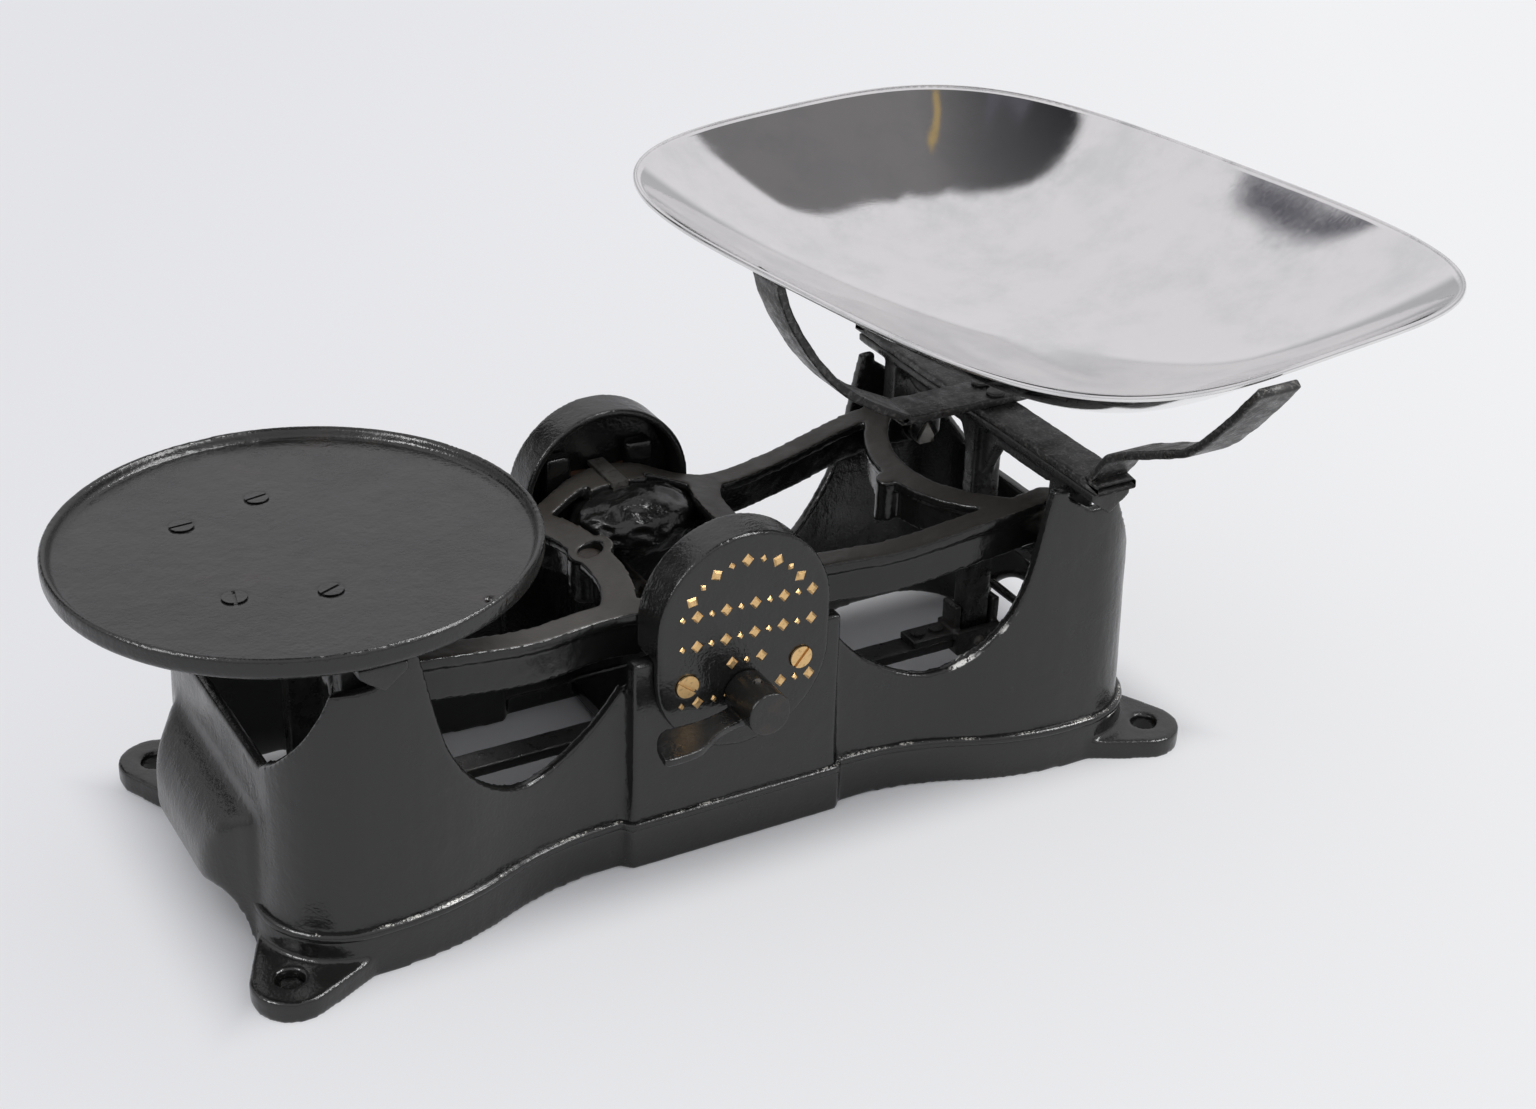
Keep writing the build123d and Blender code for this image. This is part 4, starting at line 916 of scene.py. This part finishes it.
def rim_rise(angle):
    x, y = pan_plan(angle)
    return PAN_CORNER_RISE * (x * x + y * y - 1) + PAN_SIDE_RISE * (x * x - y * y)


def pan_place(x, y, z):
    c, s = math.cos(PAN_TURN), math.sin(PAN_TURN)
    return PAN_CENTRE + Vector((x * c - y * s, x * s + y * c, z))


def smooth_step(value):
    value = min(max(value, 0.0), 1.0)
    return value * value * (3 - 2 * value)


def pan_point(angle, share):
    """A point of the pan's upper surface, share of the way from its middle to its rim."""
    x, y = pan_plan(angle)
    z = -PAN_DEPTH + (PAN_DEPTH + rim_rise(angle)) * share**PAN_BOWL_POWER
    ridge = (PAN_HALF_LENGTH - PAN_HALF_WIDTH) * (1 - share) * smooth_step(share * 2)
    point = pan_place(x * PAN_HALF_WIDTH * share, y * (PAN_HALF_LENGTH * share + ridge), z)
    dent = ripple(point, *PAN_DENTS) + ripple(point, *PAN_FINE_DENTS, shift=PAN_DENT_SHIFT)
    point.z += dent * min(1.0, (1 - share) / PAN_SMOOTH_EDGE)
    return point


def make_pan(material):
    """The pressed dish: its upper surface in rings, with the sheet's thickness under it."""
    vertices = [pan_point(0, 0)]
    for ring in range(1, PAN_RINGS + 1):
        share = (ring / PAN_RINGS) ** PAN_RING_POWER
        vertices += [pan_point(2 * math.pi * i / PAN_TURNS, share) for i in range(PAN_TURNS)]
    faces = [(0, 1 + i, 1 + (i + 1) % PAN_TURNS) for i in range(PAN_TURNS)]
    for ring in range(PAN_RINGS - 1):
        start = 1 + ring * PAN_TURNS
        for i in range(PAN_TURNS):
            j = (i + 1) % PAN_TURNS
            faces.append((start + i, start + PAN_TURNS + i, start + PAN_TURNS + j, start + j))
    mesh = new_mesh("pan_dish", vertices, faces)
    mesh.materials.append(material)
    shade_smooth(mesh)
    pan = add_object("pan_dish", mesh)
    sheet = pan.modifiers.new("sheet", "SOLIDIFY")
    sheet.thickness = PAN_SHEET
    sheet.offset = -1
    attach(pan, "goods_pan")
    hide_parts("goods_pan")


def rim_radius(turn):
    for start, end, share in RIM_HOLLOWS:
        if start < math.degrees(turn) < end:
            return RIM_RADIUS * share
    return RIM_RADIUS


def make_rim(material):
    """The sheet's edge rolled over a wire."""
    vertices = []
    for i in range(RIM_TURNS):
        angle = 2 * math.pi * i / RIM_TURNS
        x, y = pan_plan(angle)
        rise = rim_rise(angle)
        before = pan_plan(angle - 0.01)
        after = pan_plan(angle + 0.01)
        out = Vector(((after[1] - before[1]) * PAN_HALF_LENGTH, (before[0] - after[0]) * PAN_HALF_WIDTH, 0))
        out.normalize()
        for j in range(RIM_SIDES):
            turn = 2 * math.pi * j / RIM_SIDES
            radius = rim_radius(turn)
            offset = out * (math.cos(turn) * radius + RIM_OUT)
            offset.z = rise + math.sin(turn) * radius - RIM_DROP
            place = Vector((x * PAN_HALF_WIDTH, y * PAN_HALF_LENGTH, 0)) + offset
            vertices.append(pan_place(*place))
    mesh = new_mesh("pan_rolled_rim", vertices, wall_faces(RIM_TURNS, RIM_SIDES, True))
    mesh.materials.append(material)
    shade_smooth(mesh)
    rim = add_object("pan_rolled_rim", mesh)
    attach(rim, "goods_pan")
    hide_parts("pan_rim_wire")


# CAD nodes that keep their own shape

def paint_nodes(names, material):
    """Gives CAD nodes a material and a small bevel on their sharp edges."""
    for name in names:
        piece = nodes[name]
        piece.data.materials.clear()
        piece.data.materials.append(material)
        bevel = piece.modifiers.new("edges", "BEVEL")
        bevel.width = EDGE_BEVEL
        bevel.segments = 2
        bevel.limit_method = "ANGLE"


def raise_node(name, height):
    """Shows a node a little prouder, by a modifier that leaves the node in its place."""
    proud = nodes[name].modifiers.new("proud", "DISPLACE")
    proud.direction = "Z"
    proud.mid_level = 0.0
    proud.strength = height


make_camera()
make_world()
make_floor()
make_cards()
lamps = [make_lamp("key", 46, 50, distance=1.9, size=(0.4, 1.4), power=27),
         make_lamp("top", 82, 68, distance=1.25, size=(0.20, 0.85), power=8.5),
         make_lamp("left", -84, 43, distance=1.5, size=(0.45, 0.5), power=9, target=LEFT_END)]

base_enamel = enamel("base_enamel", chips=CHIPS)
bead_enamel = enamel("bead_enamel", brush=0.55, worn=0.3)
cap_enamel = enamel("cap_enamel", brush=0.9, worn=1.0)
plate_enamel = enamel("plate_enamel", brush=0.8, rough=0.22, worn=1.5)
lever_enamel = enamel("lever_enamel", rough=0.26, worn=0.9, brown=0.5)
boss_enamel = enamel("boss_paint", brush=0.9, rough=0.16, worn=0.3)
bar_iron = wrought_iron("bar_iron", rough=0.34, brown=0.25)
strap_iron = wrought_iron("strap_iron", rough=0.40, brown=0.30)

# Base, its caps and the lever
casting("base_casting", "base", base_enamel,
        voxel=BASE_VOXEL, rounds=6, lumps=0.16, soft_boxes=HOOD_BOXES)
make_skirt_bead(bead_enamel)
casting("front_cap", "base", cap_enamel, voxel=1.0, rounds=5, lumps=0.10)
casting("back_cap", "base", cap_enamel, voxel=1.0, rounds=5, lumps=0.14)
casting("weight_plate", "weight_carriage", plate_enamel, voxel=1.2, rounds=5, lumps=0.05)
casting("lever_handle", "lever", lever_enamel, voxel=0.7, rounds=6, lumps=0.12, wave=9.0)

# Beam, crossbars and the arms under the pan
casting("beam_casting", "beam", beam_paint(), voxel=1.1, rounds=5, lumps=0.22, wave=12.0)
casting("weight_crossbar", "weight_carriage", bar_iron,
        voxel=1.1, rounds=4, lumps=0.25, wave=8.0)
casting("goods_crossbar", "goods_carriage", bar_iron,
        voxel=1.1, rounds=4, lumps=0.28, wave=8.0)
long_line = [(-y, z) for y, z in LONG_ARM_NEAR] + LONG_ARM_NEAR[:1:-1] + [LONG_ARM_FAR_TIP]
make_strap("long_pan_arm", long_line, False, LONG_ARM_X, LONG_ARM_WIDTH, strap_iron)
cross_right = [CROSS_ARM_RIGHT_TIP] + CROSS_ARM_LEFT[1:]
cross_line = CROSS_ARM_LEFT + [(2 * CROSS_ARM_MIRROR - x, z) for x, z in reversed(cross_right)]
make_strap("cross_pan_arm", cross_line, True, 0.0, CROSS_ARM_WIDTH, strap_iron)
boss_x, boss_y, boss_z = BOSS_LUMP_PLACE
make_lump("back_boss_lump", (boss_x, boss_y, boss_z), BOSS_LUMP_RADII, boss_enamel, 3.0, "beam")
make_lump("front_boss_lump", (boss_x, -boss_y, boss_z), BOSS_LUMP_RADII, boss_enamel, 8.0, "beam")
make_lump("lug_paint", (*FILLED_LUG_HOLE, LUG_PAINT_HEIGHT), LUG_PAINT_RADII, boss_enamel, 5.0, "base")
make_cap_ornament(brass())
casting("pan_arm_rivets", "goods_carriage", strap_iron,
        voxel=0.5, rounds=4, lumps=0.12, wave=5.0)

# Stay
casting("stay_bar", "stay", strap_iron, voxel=0.9, rounds=3, lumps=0.2, wave=8.0)
casting("weight_stirrup", "stay", strap_iron, voxel=0.8, rounds=3, lumps=0.2, wave=8.0)
casting("goods_stirrup", "stay", strap_iron, voxel=0.8, rounds=3, lumps=0.2, wave=8.0)
casting("stay_bracket", "base", strap_iron, voxel=0.8, rounds=3, lumps=0.15, wave=8.0)

# Pan
make_pan(pan_steel("pan_sheet_steel", rough=0.055, scratch=0.5))
make_rim(pan_steel("pan_rim_steel", rough=0.24, scratch=0.2))

# Pins, knives, bearings and screws
paint_nodes(["lever_shaft", "lever_pin", "front_cam", "back_cam", "shaft_collar", "centre_knives",
             "weight_end_knives", "goods_end_knives", "weight_bearings", "goods_bearings",
             "stay_pivot_pin", "weight_stay_pin", "goods_stay_pin", "stay_bracket_screws"], steel())
paint_nodes(["front_cap_screws", "back_cap_screws"], brass())
paint_nodes(["weight_plate_screws"], plate_enamel)
raise_node("weight_plate_screws", SCREW_RISE)
paint_nodes(["front_bearing_block", "back_bearing_block"], rusty("bearing_rust", 0.55))
paint_nodes(["balance_plug"], rusty("plug_rust", 0.3))
paint_nodes(["stay_rivets"], strap_iron)

# The lamps light all but the floor and the mirroring pan, which the world and the cards light
lit = bpy.data.collections.new("lit_by_lamps")
for piece in bpy.context.scene.objects:
    if piece.type == "MESH" and piece.name not in ("floor", "pan_dish", "pan_rolled_rim"):
        lit.objects.link(piece)
for lamp in lamps:
    lamp.light_linking.receiver_collection = lit

scene = bpy.context.scene
scene.view_settings.view_transform = "Standard"
